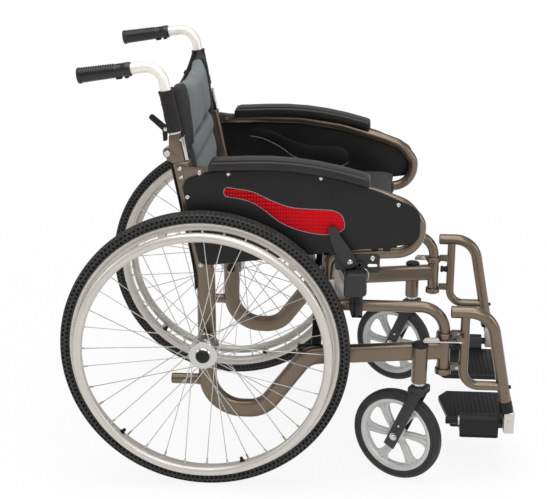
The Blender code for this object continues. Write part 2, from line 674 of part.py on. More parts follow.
def caster_fork():
    half = CASTER_HUB_LENGTH / 2 + FIT * 2 + FORK_LEG_THICKNESS
    crown = block((CASTER_X - half, CASTER_STEM_Y - 0.019, FORK_CROWN_BOTTOM_Z),
                  (CASTER_X + half, CASTER_STEM_Y + 0.017, FORK_CROWN_TOP_Z), 0.002, 1)
    stem_top = HOUSING_TOP_Z - 0.034
    collar_top = HOUSING_BOTTOM_Z - FIT
    stem = rod((CASTER_X, CASTER_STEM_Y, FORK_CROWN_TOP_Z - 0.005),
               (CASTER_X, CASTER_STEM_Y, stem_top), STEM_RADIUS, 16)
    collar = rod((CASTER_X, CASTER_STEM_Y, FORK_CROWN_TOP_Z - 0.004),
                 (CASTER_X, CASTER_STEM_Y, collar_top), HOUSING_RADIUS - 0.002, 16)
    fork = join(crown, fork_leg(-1), fork_leg(1), collar, stem)
    axle = (CASTER_STEM_Y + CASTER_TRAIL, CASTER_RADIUS)
    bore = rod((CASTER_X - half - 0.01, *axle), (CASTER_X + half + 0.01, *axle),
               CASTER_AXLE_RADIUS + RUNNING, 10)
    return cut(fork, bore)


def caster_wheel():
    rim = CASTER_RADIUS / math.cos(math.pi / CASTER_STEPS) - CASTER_TYRE_HEIGHT - FIT
    half = CASTER_TYRE_WIDTH / 2 - 0.0015
    web = 0.0045
    hub_half = CASTER_HUB_LENGTH / 2
    bore = CASTER_AXLE_RADIUS + RUNNING
    profile = [(-hub_half, bore), (-hub_half, CASTER_HUB_RADIUS - 0.003),
               (-web, CASTER_HUB_RADIUS + 0.002), (-web, rim - 0.013), (-half, rim - 0.007),
               (-half, rim), (half, rim), (half, rim - 0.007), (web, rim - 0.013),
               (web, CASTER_HUB_RADIUS + 0.002), (hub_half, CASTER_HUB_RADIUS - 0.003),
               (hub_half, bore)]
    wheel = turned(profile, CASTER_STEPS, half_step=True)
    inner, outer = CASTER_HUB_RADIUS + 0.008, rim - 0.016
    pitch = 2 * math.pi / CASTER_OPENINGS
    cutters = []
    for k in range(CASTER_OPENINGS):
        turn = k * pitch
        corners = []
        for radius, angle, corner in ((inner, 0.20, 0), (outer * 0.75, 0.13, 0),
                                      (outer, 0.16, 0.006), (outer, 0.86, 0.008),
                                      (outer * 0.62, 0.74, 0), (inner, 0.62, 0)):
            a = turn + angle * pitch
            corners.append((radius * math.cos(a), radius * math.sin(a), corner))
        cutters.append(plate(filleted(corners, closed=True, step=math.radians(60)), 0.03, 0))
    wheel = cut(wheel, *cutters)
    return moved(wheel, Matrix.Translation((CASTER_X, CASTER_STEM_Y + CASTER_TRAIL, CASTER_RADIUS)))


def caster_tyre():
    outer = CASTER_RADIUS / math.cos(math.pi / CASTER_STEPS)
    inner = outer - CASTER_TYRE_HEIGHT
    half = CASTER_TYRE_WIDTH / 2
    profile = [(-half * 0.9, inner), (-half * 0.95, outer - 0.006), (-half * 0.45, outer),
               (half * 0.45, outer), (half * 0.95, outer - 0.006), (half * 0.9, inner)]
    return moved(turned(profile, CASTER_STEPS, half_step=True),
                 Matrix.Translation((CASTER_X, CASTER_STEM_Y + CASTER_TRAIL, CASTER_RADIUS)))


def caster_axle():
    half = CASTER_HUB_LENGTH / 2 + FIT * 2 + FORK_LEG_THICKNESS + FIT
    head = 0.0045
    profile = [(-half - head, 0), (-half - head, 0.0062), (-half, 0.0068), (-half, CASTER_AXLE_RADIUS),
               (half, CASTER_AXLE_RADIUS), (half, 0.0068), (half + head, 0.0062), (half + head, 0)]
    return moved(turned(profile, 10),
                 Matrix.Translation((CASTER_X, CASTER_STEM_Y + CASTER_TRAIL, CASTER_RADIUS)))


# Cross brace: two equal arms that cross at the bolt, each with its seat tube

def brace_arm(side):
    """Arm hinged on the rail at -side and carrying the seat tube at +side."""
    y = BRACE_Y - side * (BRACE_ARM_THICKNESS / 2 + FIT)
    low = Vector((-side * BRACE_PIVOT_X, y, BRACE_PIVOT_Z))
    high = Vector((side * BRACE_PIVOT_X, y, SEAT_TUBE_Z))
    length = (high - low).length
    arm = block((0, -BRACE_ARM_THICKNESS / 2, -BRACE_ARM_DEPTH / 2),
                (length - 0.008, BRACE_ARM_THICKNESS / 2, BRACE_ARM_DEPTH / 2), 0.003, 1)
    lie = Matrix.Rotation(-BRACE_RISE, 4, "Y")
    if side < 0:
        lie = Matrix.Scale(-1, 4, (1, 0, 0)) @ lie
    moved(arm, Matrix.Translation(low) @ lie)
    half = BRACE_SLEEVE_LENGTH / 2
    sleeve = rod((low.x, BRACE_Y - half, low.z), (low.x, BRACE_Y + half, low.z),
                 BRACE_SLEEVE_RADIUS)
    seat_tube = rod((high.x, SEAT_TUBE_FRONT_Y, high.z), (high.x, SEAT_TUBE_REAR_Y, high.z),
                    SEAT_TUBE_RADIUS, 12)
    arm = join(arm, sleeve, seat_tube)
    pin_bore = rod((low.x, BRACE_Y - half - 0.01, low.z), (low.x, BRACE_Y + half + 0.01, low.z),
                   BRACE_PIN_RADIUS + RUNNING, 12)
    centre_z = (BRACE_PIVOT_Z + SEAT_TUBE_Z) / 2
    bolt_bore = rod((0, BRACE_Y - 0.05, centre_z), (0, BRACE_Y + 0.05, centre_z),
                    BRACE_BOLT_RADIUS + RUNNING, 10)
    return cut(arm, pin_bore, bolt_bore)


def brace_bolt():
    reach = BRACE_ARM_THICKNESS + FIT * 2
    centre_z = (BRACE_PIVOT_Z + SEAT_TUBE_Z) / 2
    head = 0.006
    profile = [(-reach - head, 0), (-reach - head, 0.007), (-reach, 0.008),
               (-reach, BRACE_BOLT_RADIUS), (reach, BRACE_BOLT_RADIUS), (reach, 0.008),
               (reach + head, 0.007), (reach + head, 0)]
    bolt = moved(turned(profile, 10), Matrix.Rotation(math.pi / 2, 4, "Z"))
    return moved(bolt, Matrix.Translation((0, BRACE_Y, centre_z)))


# Seat and back

def cushion(low, high, crown, pinch, grooves=(), groove_depth=0.006, grid=(6, 6), levels=1):
    """Padded slab between two corners: a crowned top on +Z, sides drawn in between the
    corners by pinch, and sewn channels across it at the given shares of its length."""
    low, high = Vector(low), Vector(high)
    size = high - low
    bm = bmesh.new()
    bmesh.ops.create_cube(bm, size=1.0)
    bmesh.ops.translate(bm, vec=(0.5, 0.5, 0.5), verts=bm.verts)
    for axis, cuts in ((0, grid[0]), (1, grid[1])):
        for k in range(1, cuts):
            place_at = Vector((0, 0, 0))
            place_at[axis] = k / cuts
            normal = Vector((0, 0, 0))
            normal[axis] = 1
            bmesh.ops.bisect_plane(bm, geom=[*bm.verts, *bm.edges, *bm.faces], dist=1e-6,
                                   plane_co=place_at, plane_no=normal)
    middle = Vector((0, 0, 1))
    bmesh.ops.bisect_plane(bm, geom=[*bm.verts, *bm.edges, *bm.faces], dist=1e-6,
                           plane_co=middle / 2, plane_no=middle)
    for vert in bm.verts:
        u, v, w = vert.co
        dome = (1 - (2 * u - 1) ** 2) * (1 - (2 * v - 1) ** 2)
        waist_u = pinch * (1 - (2 * v - 1) ** 2) if u in (0.0, 1.0) else 0.0
        waist_v = pinch * (1 - (2 * u - 1) ** 2) if v in (0.0, 1.0) else 0.0
        bulge = 0.004 if abs(w - 0.5) < 0.01 else 0.0
        x = low.x + u * size.x + (waist_u - bulge) * (1 if u == 0 else -1) * (u in (0.0, 1.0))
        y = low.y + v * size.y + (waist_v - bulge) * (1 if v == 0 else -1) * (v in (0.0, 1.0))
        z = low.z + w * size.z
        if w > 0.99:
            z -= crown * (1 - dome)
            if any(abs(v - groove) < 0.02 for groove in grooves):
                z -= groove_depth
        vert.co = (x, y, z)
    item = from_bmesh("cushion", bm)
    if levels:
        smooth = item.modifiers.new("smooth", "SUBSURF")
        smooth.levels = smooth.render_levels = levels
    return baked(item)


def seat_sling():
    half = SLING_THICKNESS / 2
    return block((-SEAT_HALF_WIDTH, SEAT_TUBE_FRONT_Y + 0.004, SLING_Z - half),
                 (SEAT_HALF_WIDTH, SEAT_TUBE_REAR_Y - 0.004, SLING_Z + half), 0.0012, 1)


def seat_cushion():
    return cushion((-SEAT_HALF_WIDTH, CUSHION_FRONT_Y, CUSHION_Z),
                   (SEAT_HALF_WIDTH, CUSHION_REAR_Y, CUSHION_Z + CUSHION_THICKNESS),
                   crown=0.006, pinch=0.006, grid=(4, 4))


def back_section(bottom_z, top_z, half_width, grooves=()):
    """Padded back section that stands in front of the uprights' centre line and leans."""
    length = (top_z - bottom_z) / math.cos(BACK_LEAN)
    pad = cushion((-half_width, 0, 0), (half_width, length, BACK_THICKNESS), crown=0.008,
                  pinch=0.003, grooves=grooves, grid=(4, 3))
    lean = Matrix.Rotation(-BACK_LEAN, 4, "X")
    foot = Matrix.Translation((0, back_y(bottom_z) + 0.004, bottom_z))
    return moved(pad, foot @ lean @ FRONT_PLANE)


def back_upper():
    """Upper back with the sleeves that slip over both canes."""
    pad = back_section(BACK_SPLIT_Z, BACK_TOP_Z, FRAME_X - CANE_RADIUS - 0.001)
    low_z = CANE_BOTTOM_Z + 0.016
    pieces, bores = [], []
    for side in (-1, 1):
        foot = (side * FRAME_X, back_y(low_z), low_z)
        head = (side * FRAME_X, back_y(BACK_TOP_Z - 0.006), BACK_TOP_Z - 0.006)
        pieces.append(rod(foot, head, CANE_RADIUS + FIT + SLEEVE_WALL, 16))
        flap_low = (min(side * 0.200, side * FRAME_X), -0.0125, 0.004)
        flap_high = (max(side * 0.200, side * FRAME_X), -0.0085, (head[2] - foot[2]) - 0.010)
        flap = block(flap_low, flap_high)
        shear = Matrix.Translation((0, back_y(low_z) + 0.004, low_z)) @ Matrix.Rotation(
            -BACK_LEAN, 4, "X")
        pieces.append(moved(flap, shear))
        reach = Vector(head) - Vector(foot)
        bores.append(rod(Vector(foot) - reach * 0.2, Vector(head) + reach * 0.2,
                         CANE_RADIUS + FIT, 16))
    return cut(join(pad, *pieces), *bores)


def back_lower():
    """Lower back: a pad between the uprights and a sheet that passes behind them."""
    top_z = BACK_SPLIT_Z - 0.002
    pad = back_section(BACK_BOTTOM_Z, top_z, FRAME_INNER_X - 0.001,
                       grooves=(0.75,))
    rear = FRAME_TUBE_DEPTH / 2 / math.cos(BACK_LEAN) + FIT
    low, high = UPRIGHT_BEND_Z - 0.037, UPRIGHT_TOP_Z - 0.010
    outline = [(back_y(z) + rear + extra, z) for z, extra in
               ((high, 0), (UPRIGHT_BEND_Z + 0.02, 0.0012), (low, 0.0002), (low, 0.0035),
                (UPRIGHT_BEND_Z + 0.02, 0.0045), (high, 0.0035))]
    sheet = plate(outline, 2 * FRAME_OUTER_X - 0.004, 0)
    bridge_outline = [(back_y(z) + y, z) for z, y in
                      ((BACK_BOTTOM_Z + 0.015, -0.010), (BACK_BOTTOM_Z + 0.015, rear + 0.002),
                       (high - 0.010, rear + 0.002), (high - 0.010, -0.010))]
    bridge = plate(bridge_outline, 2 * FRAME_INNER_X - 0.010, 0)
    return join(pad, sheet, bridge)


# Armrest

def arm_path():
    return filleted([(-0.016, 0.6790), (-0.212, 0.6863, 0.75), (-0.4110, 0.6200, 0.055),
                     (-0.4415, 0.5850, 0.030), (-0.4410, 0.5215, 0.050),
                     (-0.3300, 0.5150, 0.20), (-0.2600, 0.5100, 0.022), ARM_TAIL],
                    step=math.radians(30))


def armrest_tube():
    arm = tube(arm_path(), ARM_TUBE_RADIUS, ARM_X)
    y, z = ARM_PIVOT
    radius = ARM_TONGUE_RADIUS
    outline = filleted([(y + radius, z + radius, radius * 0.98), (y - 0.034, z + radius - 0.001),
                        (y - 0.034, z - radius + 0.001), (y + radius, z - radius, radius * 0.98)],
                       closed=True)
    tongue = plate(outline, ARM_TONGUE_THICKNESS, ARM_X - 0.0035)
    arm = join(arm, tongue)
    return cut(arm, rod((ARM_X - 0.03, y, z), (ARM_X + 0.03, y, z), ARM_PIN_RADIUS + RUNNING, 10))


def armrest_hinge():
    """Plate on the upright's outer face with the pin that the armrest turns on."""
    y, z = ARM_PIVOT
    upright = back_y(z)
    plate_x = FRAME_OUTER_X + FIT + 0.0015
    outline = filleted([(y - 0.010, z + 0.009, 0.008), (y - 0.010, z - 0.009, 0.008),
                        (upright + 0.011, z - 0.022, 0.006), (upright + 0.016, z + 0.016, 0.006)],
                       closed=True, step=math.radians(30))
    cheek = plate(outline, 0.003, plate_x)
    pin = rod((ARM_X - 0.0035 - ARM_TONGUE_THICKNESS / 2 - 0.003, y, z),
              (plate_x, y, z), ARM_PIN_RADIUS, 10)
    washer = rod((ARM_X - 0.0035 - ARM_TONGUE_THICKNESS / 2 - 0.003, y, z),
                 (ARM_X - 0.0035 - ARM_TONGUE_THICKNESS / 2 - FIT, y, z), 0.0065, 10)
    bolts = [rod((plate_x, upright + 0.004 + lean, z + up),
                 (plate_x + 0.0035, upright + 0.004 + lean, z + up), 0.0052, 6)
             for lean, up in ((0.0015, 0.008), (-0.0015, -0.010))]
    return join(cheek, pin, washer, *bolts)


def armrest_pad():
    """Pad of crowned profile, grooved underneath for the tube that it is screwed to."""
    outline = filleted([(-0.012, 0.7165, 0.009), (-0.120, 0.7180, 0.20), (-0.225, 0.6920, 0.30),
                        (-0.337, 0.6775, 0.008), (-0.337, 0.6560, 0.008), (-0.140, 0.6880, 0.40),
                        (-0.012, 0.6840, 0.006)], closed=True, step=math.radians(40))
    pad = plate(outline, PAD_WIDTH, ARM_X)
    bm = bmesh.new()
    bm.from_mesh(pad.data)
    bpy.data.objects.remove(pad, do_unlink=True)
    sides = {face for face in bm.faces if abs(face.normal.x) > 0.9}
    rim = [edge for edge in bm.edges if len(sides.intersection(edge.link_faces)) == 1]
    bmesh.ops.bevel(bm, geom=rim, offset=0.0085, segments=2, profile=0.5, affect="EDGES",
                    material=-1)
    heel = block((ARM_X - 0.0130, -0.030, ARM_PIVOT[1] - 0.02), (ARM_X + 0.0130, 0.0, 0.6925))
    return cut(from_bmesh("pad", bm), tube(arm_path(), ARM_TUBE_RADIUS + FIT, ARM_X), heel)


def armrest_panel():
    outline = filleted([(0.0440, 0.6690, 0.018), (-0.1300, 0.6900, 0.30), (-0.3700, 0.6350, 0.12),
                        (-0.4400, 0.6130, 0.034), (-0.4400, 0.5440, 0.026),
                        (-0.0180, 0.4880, 0.02), (0.0110, 0.4880, 0.016)],
                       closed=True, step=math.radians(22))
    return plate(outline, PANEL_THICKNESS, PANEL_INNER_X + PANEL_THICKNESS / 2)


# Canes and grips

def cane_line():
    foot = (back_y(CANE_BOTTOM_Z), CANE_BOTTOM_Z)
    corner = (back_y(HANDLE_CORNER_Z), HANDLE_CORNER_Z, HANDLE_BEND_RADIUS)
    return [foot, corner, HANDLE_END]


def cane_tongue():
    y, z = CANE_PIVOT
    r = CANE_TONGUE_RADIUS
    top = CANE_BOTTOM_Z + 0.004
    outline = filleted([(back_y(top) - 0.009, top), (y - r - 0.001, z - r, r * 0.95),
                        (y + r, z - r, r * 0.95), (y + r, z + 0.006, 0.005),
                        (back_y(z + 0.018) + 0.013, z + 0.018), (back_y(top) + 0.009, top)],
                       closed=True, step=math.radians(30))
    return plate(outline, CANE_TONGUE_THICKNESS, FRAME_X)


def lever_pivot():
    z = CANE_BOTTOM_Z + 0.0095
    return back_y(z) + CANE_RADIUS + 0.0065, z


def back_cane():
    cane = tube(filleted(cane_line()), CANE_RADIUS, FRAME_X)
    y, z = lever_pivot()
    ears = [block((FRAME_X + x - 0.0009, y - 0.012, z - 0.004),
                  (FRAME_X + x + 0.0009, y + 0.003, z + 0.004)) for x in (-0.0057, 0.0057)]
    pin = rod((FRAME_X - 0.006, y, z), (FRAME_X + 0.006, y, z), 0.0015, 10)
    cane = join(cane, cane_tongue(), *ears, pin)
    bore = rod((FRAME_X - 0.03, *CANE_PIVOT), (FRAME_X + 0.03, *CANE_PIVOT),
               CANE_PIN_RADIUS + RUNNING, 10)
    return cut(cane, bore)


def cane_bracket():
    """Forked casting on the upright that the cane folds in."""
    y, z = CANE_PIVOT
    low, high = UPRIGHT_TOP_Z + FIT, CANE_BOTTOM_Z - FIT * 2
    slope = math.tan(BACK_LEAN)
    front, rear = -0.0175, 0.0180
    outline = filleted([(back_y(low) + front, low - front * slope),
                        (back_y(low) + rear, low - rear * slope, 0.002),
                        (y + 0.013, z - 0.012, 0.009), (y + 0.013, z + 0.010, 0.009),
                        (back_y(high) + 0.0095, high - 0.0095 * slope),
                        (back_y(high) + front, high - front * slope)],
                       closed=True, step=math.radians(30))
    bracket = plate(outline, 0.021, FRAME_X)
    slot_half = CANE_TONGUE_THICKNESS / 2 + RUNNING
    slot = block((FRAME_X - slot_half, back_y(low) - 0.05, z - CANE_TONGUE_RADIUS - 0.0012),
                 (FRAME_X + slot_half, y + 0.05, high + 0.02))
    pin = rod((FRAME_X - 0.0125, y, z), (FRAME_X + 0.0145, y, z), CANE_PIN_RADIUS, 10)
    head = rod((FRAME_X + 0.0100, y, z), (FRAME_X + 0.0145, y, z), 0.0065, 6)
    return join(cut(bracket, slot), pin, head)


def cane_release_lever():
    y, z = lever_pivot()
    outline = filleted([(y - 0.0035, z + 0.003, 0.002), (y - 0.0030, z - 0.024, 0.001),
                        (y + 0.0035, z - 0.025, 0.002), (y + 0.0042, z - 0.002, 0.003),
                        (y + 0.0320, z + 0.023, 0.003), (y + 0.0285, z + 0.0285, 0.003)],
                       closed=True, step=math.radians(30))
    lever = plate(outline, 0.0090, FRAME_X)
    lever = cut(lever, rod((FRAME_X - 0.02, y, z), (FRAME_X + 0.02, y, z), 0.0018, 10))
    return lever


def grip():
    """Push grip: a ribbed sleeve over the handle with a flange and a closed rear end."""
    end = Vector((FRAME_X, *HANDLE_END))
    corner = Vector((FRAME_X, back_y(HANDLE_CORNER_Z), HANDLE_CORNER_Z))
    axis = (end - corner).normalized()
    bore = (CANE_RADIUS + FIT) / math.cos(math.pi / GRIP_STEPS)
    front = -GRIP_LENGTH + 0.003
    profile = [(0.003, 0), (0.003, GRIP_RADIUS + 0.0005), (0.0005, GRIP_RADIUS + 0.002),
               (-0.004, GRIP_RADIUS + 0.002), (-0.006, GRIP_RADIUS)]
    ribs = 3
    pitch = (GRIP_LENGTH - 0.020) / ribs
    for k in range(ribs):
        start = -0.006 - k * pitch
        profile += [(start - pitch * 0.35, GRIP_RADIUS), (start - pitch * 0.5, GRIP_RADIUS - 0.0012),
                    (start - pitch * 0.85, GRIP_RADIUS - 0.0012)]
    profile += [(front + 0.004, GRIP_RADIUS), (front, GRIP_RADIUS - 0.0015), (front, bore),
                (FIT, bore), (FIT, 0)]
    sleeve = turned(profile[::-1], GRIP_STEPS)
    point = axis.to_track_quat("X", "Z").to_matrix().to_4x4()
    return moved(sleeve, Matrix.Translation(end) @ point)


# Brake

def brake_mount():
    """Plate beside the armrest with a neck that is clamped on the seat rail."""
    py, pz = BRAKE_PIVOT
    sy, sz = SHOE_PIVOT
    x = BRAKE_PLATE_X
    half = BRAKE_PLATE_THICKNESS / 2
    outline = filleted([(sy + 0.052, sz + 0.021, 0.006), (sy + 0.050, sz - 0.014, 0.006),
                        (sy - 0.041, sz - 0.019, 0.008), (sy - 0.041, sz + 0.021, 0.010)],
                       closed=True, step=math.radians(30))
    body = plate(outline, BRAKE_PLATE_THICKNESS, x)
    slot = plate(filleted([(sy - 0.016, sz - 0.007, 0.0035), (sy - 0.036, sz - 0.007, 0.0035),
                           (sy - 0.036, sz + 0.0005, 0.0035), (sy - 0.016, sz + 0.0005, 0.0035)],
                          closed=True, step=math.radians(90)), 0.02, x)
    body = cut(body, slot)
    rail_side = FRAME_X + SEAT_RAIL_RADIUS + FIT
    neck = block((rail_side, BRAKE_CLAMP_Y - 0.008, SEAT_RAIL_Z - 0.0185),
                 (x + half, BRAKE_CLAMP_Y + 0.020, sz + 0.001))
    foot = block((FRAME_X, BRAKE_CLAMP_Y - 0.008, SEAT_RAIL_Z - 0.0185),
                 (x + half, BRAKE_CLAMP_Y + 0.014, SEAT_RAIL_Z - SEAT_RAIL_RADIUS - FIT))
    shoe_pin = rod((x, sy, sz), (x + half + 0.0055, sy, sz), 0.0030, 12)
    lever_pin = rod((x, py, pz), (SHOE_X - SHOE_WIDTH / 2 + 0.0170, py, pz), 0.0035, 12)
    head_x = SHOE_X - SHOE_WIDTH / 2 + 0.0142
    head = rod((head_x, py, pz), (head_x + 0.0030, py, pz), 0.0058, 10)
    bolt = rod((x, sy - 0.026, sz + 0.013), (x + half + 0.0025, sy - 0.026, sz + 0.013), 0.0050, 6)
    return join(body, neck, foot, shoe_pin, lever_pin, head, bolt)


def brake_shoe():
    """Moulded block in front of the tyre, hung from a small ear."""
    low = (SHOE_X - SHOE_WIDTH / 2, SHOE_REAR_Y - SHOE_DEPTH, SHOE_BOTTOM_Z)
    high = (SHOE_X + SHOE_WIDTH / 2, SHOE_REAR_Y, SHOE_TOP_Z)
    shoe = block(low, high, 0.006, 1)
    y, z = SHOE_PIVOT
    ear_x = low[0] + 0.0014
    outline = filleted([(y - 0.0075, z + 0.007, 0.0065), (y - 0.010, z - 0.022), (y + 0.010, z - 0.022),
                        (y + 0.0075, z + 0.007, 0.0065)], closed=True, step=math.radians(30))
    ear = plate(outline, 0.0028, ear_x)
    pocket = block((low[0] - 0.01, y - 0.014, SHOE_TOP_Z - 0.004),
                   (low[0] + 0.0125, y + 0.014, SHOE_TOP_Z + 0.01))
    shoe = join(cut(shoe, pocket), ear)
    return cut(shoe, rod((ear_x - 0.01, y, z), (ear_x + 0.01, y, z), 0.0030 + RUNNING, 12))


def brake_lever():
    """Broad moulded lever that rises from its pivot and leans back to the tip."""
    y, z = BRAKE_PIVOT
    reach = Vector((0.0360, 0.0725)).normalized()
    side = Vector((reach.y, -reach.x))
    root = Vector((y, z))
    spots = ((-0.0130, 0.0095, 0.011), (0.0240, 0.0100, 0.02), (0.0560, 0.0062, 0.02),
             (BRAKE_LEVER_LENGTH, 0.0060, 0.004))
    rear = [(*(root + reach * along + side * half), corner) for along, half, corner in spots]
    front = [(*(root + reach * along - side * half), corner) for along, half, corner in spots]
    outline = filleted([*rear, *front[::-1]], closed=True, step=math.radians(25))
    x = SHOE_X - SHOE_WIDTH / 2 + 0.0035 + BRAKE_LEVER_THICKNESS / 2
    lever = plate(outline, BRAKE_LEVER_THICKNESS, x)
    return cut(lever, rod((x - 0.02, y, z), (x + 0.02, y, z), 0.0035 + RUNNING, 12))


# Footrest

def leg_direction():
    return (Vector(HANGER_END) - Vector((HANGER_CORNER_Y, HANGER_TOP_Z))).normalized()


def hinge_lug(z_low, z_high, arm_z, bore):
    """Ring round the hinge post's axis with an arm forward to the strut."""
    ring = rod((FRAME_X, POST_Y, z_low), (FRAME_X, POST_Y, z_high), HINGE_RING_RADIUS, 16)
    arm = block((FRAME_X - 0.0065, STRUT_Y + 0.002, arm_z - 0.007),
                (FRAME_X + 0.0065, POST_Y - POST_RADIUS - 0.0008, arm_z + 0.007))
    lug = join(ring, arm)
    if bore:
        lug = cut(lug, rod((FRAME_X, POST_Y, z_low - 0.01), (FRAME_X, POST_Y, z_high + 0.01),
                           bore, 16))
    return lug


def latch_pivot():
    return FRAME_X + 0.0175, STRUT_Y + 0.010, POST_TOP_Z - 0.0035


def footrest_hanger():
    path = filleted([(HANGER_REAR_Y, HANGER_TOP_Z), (HANGER_CORNER_Y, HANGER_TOP_Z, HANGER_BEND_RADIUS),
                     HANGER_END])
    hanger = tube(path, HANGER_RADIUS, FRAME_X)
    leg_at_strut = HANGER_CORNER_Y + (HANGER_TOP_Z - STRUT_BOTTOM_Z) * (
        HANGER_END[0] - HANGER_CORNER_Y) / (HANGER_TOP_Z - HANGER_END[1])
    strut = tube(filleted([(STRUT_Y, HANGER_TOP_Z - 0.004),
                           (STRUT_Y, STRUT_BOTTOM_Z, STRUT_BEND_RADIUS),
                           (leg_at_strut, STRUT_BOTTOM_Z)]), STRUT_RADIUS, FRAME_X)
    upper = hinge_lug(POST_TOP_Z + FIT, POST_TOP_Z + 0.0125, POST_TOP_Z + 0.0095,
                      SEAT_RAIL_RADIUS + RUNNING)
    lower = hinge_lug(POST_BOTTOM_Z - 0.012, POST_BOTTOM_Z - FIT, POST_BOTTOM_Z + 0.003, 0)
    lower_pin = rod((FRAME_X, POST_Y, POST_BOTTOM_Z - 0.003),
                    (FRAME_X, POST_Y, POST_BOTTOM_Z + POST_PIN_LENGTH), POST_PIN_RADIUS, 10)
    x, y, z = latch_pivot()
    ear = block((FRAME_X + 0.004, y - 0.007, z + 0.004 + FIT), (x + 0.006, y + 0.007, z + 0.013))
    latch_pin = rod((x, y, z - 0.0015), (x, y, z + 0.006), 0.0025, 10)
    hanger = join(hanger, strut, upper, lower, lower_pin, ear, latch_pin)
    direction = leg_direction()
    end = Vector(HANGER_END)
    deep = end - direction * (EXTENSION_INSET + 0.004)
    out = end + direction * 0.02
    bore = rod((FRAME_X, *deep), (FRAME_X, *out), EXTENSION_RADIUS + RUNNING, 16)
    return cut(hanger, bore)


def hanger_latch():
    """Flat release lever beside the hinge post."""
    x, y, z = latch_pivot()
    eye = rod((x, y, z), (x, y, z + 0.004), 0.0058)
    outline = [(x - 0.0045, y), (x + 0.0045, y), (x + 0.0060, POST_Y + 0.010),
               (x + 0.0075, POST_Y + 0.044), (x - 0.0005, POST_Y + 0.046),
               (x - 0.0015, POST_Y + 0.010)]
    blade = plate(outline, 0.003, 0, Matrix.Identity(4))
    moved(blade, Matrix.Translation((0, 0, z + 0.0020)))
    return cut(join(eye, blade), rod((x, y, z - 0.01), (x, y, z + 0.01), 0.0025 + RUNNING, 10))


def footrest_extension():
    """Leg insert with its collar, clamp and the axle that the footplate turns on."""
    direction = leg_direction()
    end = Vector(HANGER_END)
    deep = end - direction * EXTENSION_INSET
    collar_end = end + direction * 0.026
    foot = end + direction * 0.060
    leg = rod((FRAME_X, *deep), (FRAME_X, *foot), EXTENSION_RADIUS)
    collar = rod((FRAME_X, *(end + direction * FIT)), (FRAME_X, *collar_end), HANGER_RADIUS + 0.001)
    clamp = block((PLATE_AXLE_X - 0.011, foot.x - 0.010, PLATE_AXLE_Z - 0.013),
                  (FRAME_X + 0.012, foot.x + 0.012, collar_end.y + 0.002), 0.002, 1)
    axle = rod((PLATE_AXLE_X, foot.x, PLATE_AXLE_Z),
               (PLATE_AXLE_X, PLATE_AXLE_REAR_Y, PLATE_AXLE_Z), PLATE_AXLE_RADIUS)
    return join(leg, collar, clamp, axle)


def footplate():
    """Ribbed plate with the moulded barrel that turns on the leg's axle."""
    rear_cut = 0.030
    outline = filleted([(PLATE_INNER_X, PLATE_FRONT_Y + 0.004, 0.010),
                        (PLATE_INNER_X, PLATE_REAR_Y - 0.020, 0.006),
                        (PLATE_INNER_X + rear_cut, PLATE_REAR_Y, 0.010),
                        (PLATE_OUTER_X, PLATE_REAR_Y - 0.0205, 0.004),
                        (PLATE_OUTER_X, PLATE_FRONT_Y, 0.006)],
                       closed=True, step=math.radians(30))
    top = PLATE_TOP_Z - PLATE_THICKNESS / 2
    board = plate(outline, PLATE_THICKNESS, 0, Matrix.Identity(4))
    moved(board, Matrix.Translation((0, 0, top)))
    ribs = []
    for k in range(PLATE_RIBS):
        y = PLATE_REAR_Y - 0.026 - k * (PLATE_REAR_Y - PLATE_FRONT_Y - 0.044) / (PLATE_RIBS - 1)
        ribs.append(block((PLATE_INNER_X + 0.010, y - 0.0022, PLATE_TOP_Z - 0.001),
                          (PLATE_OUTER_X - 0.014, y + 0.0022, PLATE_TOP_Z + 0.0012)))
    front, rear = PLATE_BARREL_FRONT_Y, PLATE_BARREL_REAR_Y
    housing_outline = filleted([(PLATE_OUTER_X - 0.006, PLATE_TOP_Z - PLATE_THICKNESS + 0.0006),
                                (PLATE_OUTER_X - 0.006, PLATE_TOP_Z + 0.004, 0.006),
                                (PLATE_AXLE_X - 0.010, PLATE_AXLE_Z + 0.016, 0.012),
                                (PLATE_AXLE_X + 0.0135, PLATE_AXLE_Z + 0.016, 0.012),
                                (PLATE_AXLE_X + 0.0135, PLATE_AXLE_Z - 0.033, 0.002),
                                (PLATE_AXLE_X + 0.0090, PLATE_AXLE_Z - 0.033, 0.002),
                                (PLATE_AXLE_X + 0.0090, PLATE_TOP_Z - PLATE_THICKNESS + 0.0006, 0.003)],
                               closed=True, step=math.radians(30))
    housing = plate(housing_outline, rear - front, 0, FRONT_PLANE)
    moved(housing, Matrix.Translation((0, (front + rear) / 2, 0)))
    board = join(board, housing, *ribs)
    bore = rod((PLATE_AXLE_X, front - 0.02, PLATE_AXLE_Z), (PLATE_AXLE_X, rear + 0.02, PLATE_AXLE_Z),
               PLATE_AXLE_RADIUS + RUNNING, 16)
    return cut(board, bore)


# Assembly

chair = empty("wheelchair", (0, 0, 0))
chair.location = (0, CENTRE_SHIFT, 0)
brace_front_axis = empty("brace_front_axis", (-BRACE_PIVOT_X, BRACE_Y, BRACE_PIVOT_Z), chair)
brace_rear_axis = empty("brace_rear_axis", (0, BRACE_Y, (BRACE_PIVOT_Z + SEAT_TUBE_Z) / 2),
                        brace_front_axis)
left_side_axis = empty("left_side_axis", (BRACE_PIVOT_X, BRACE_Y, BRACE_PIVOT_Z), brace_rear_axis)
SIDES = {"left": left_side_axis, "right": chair}

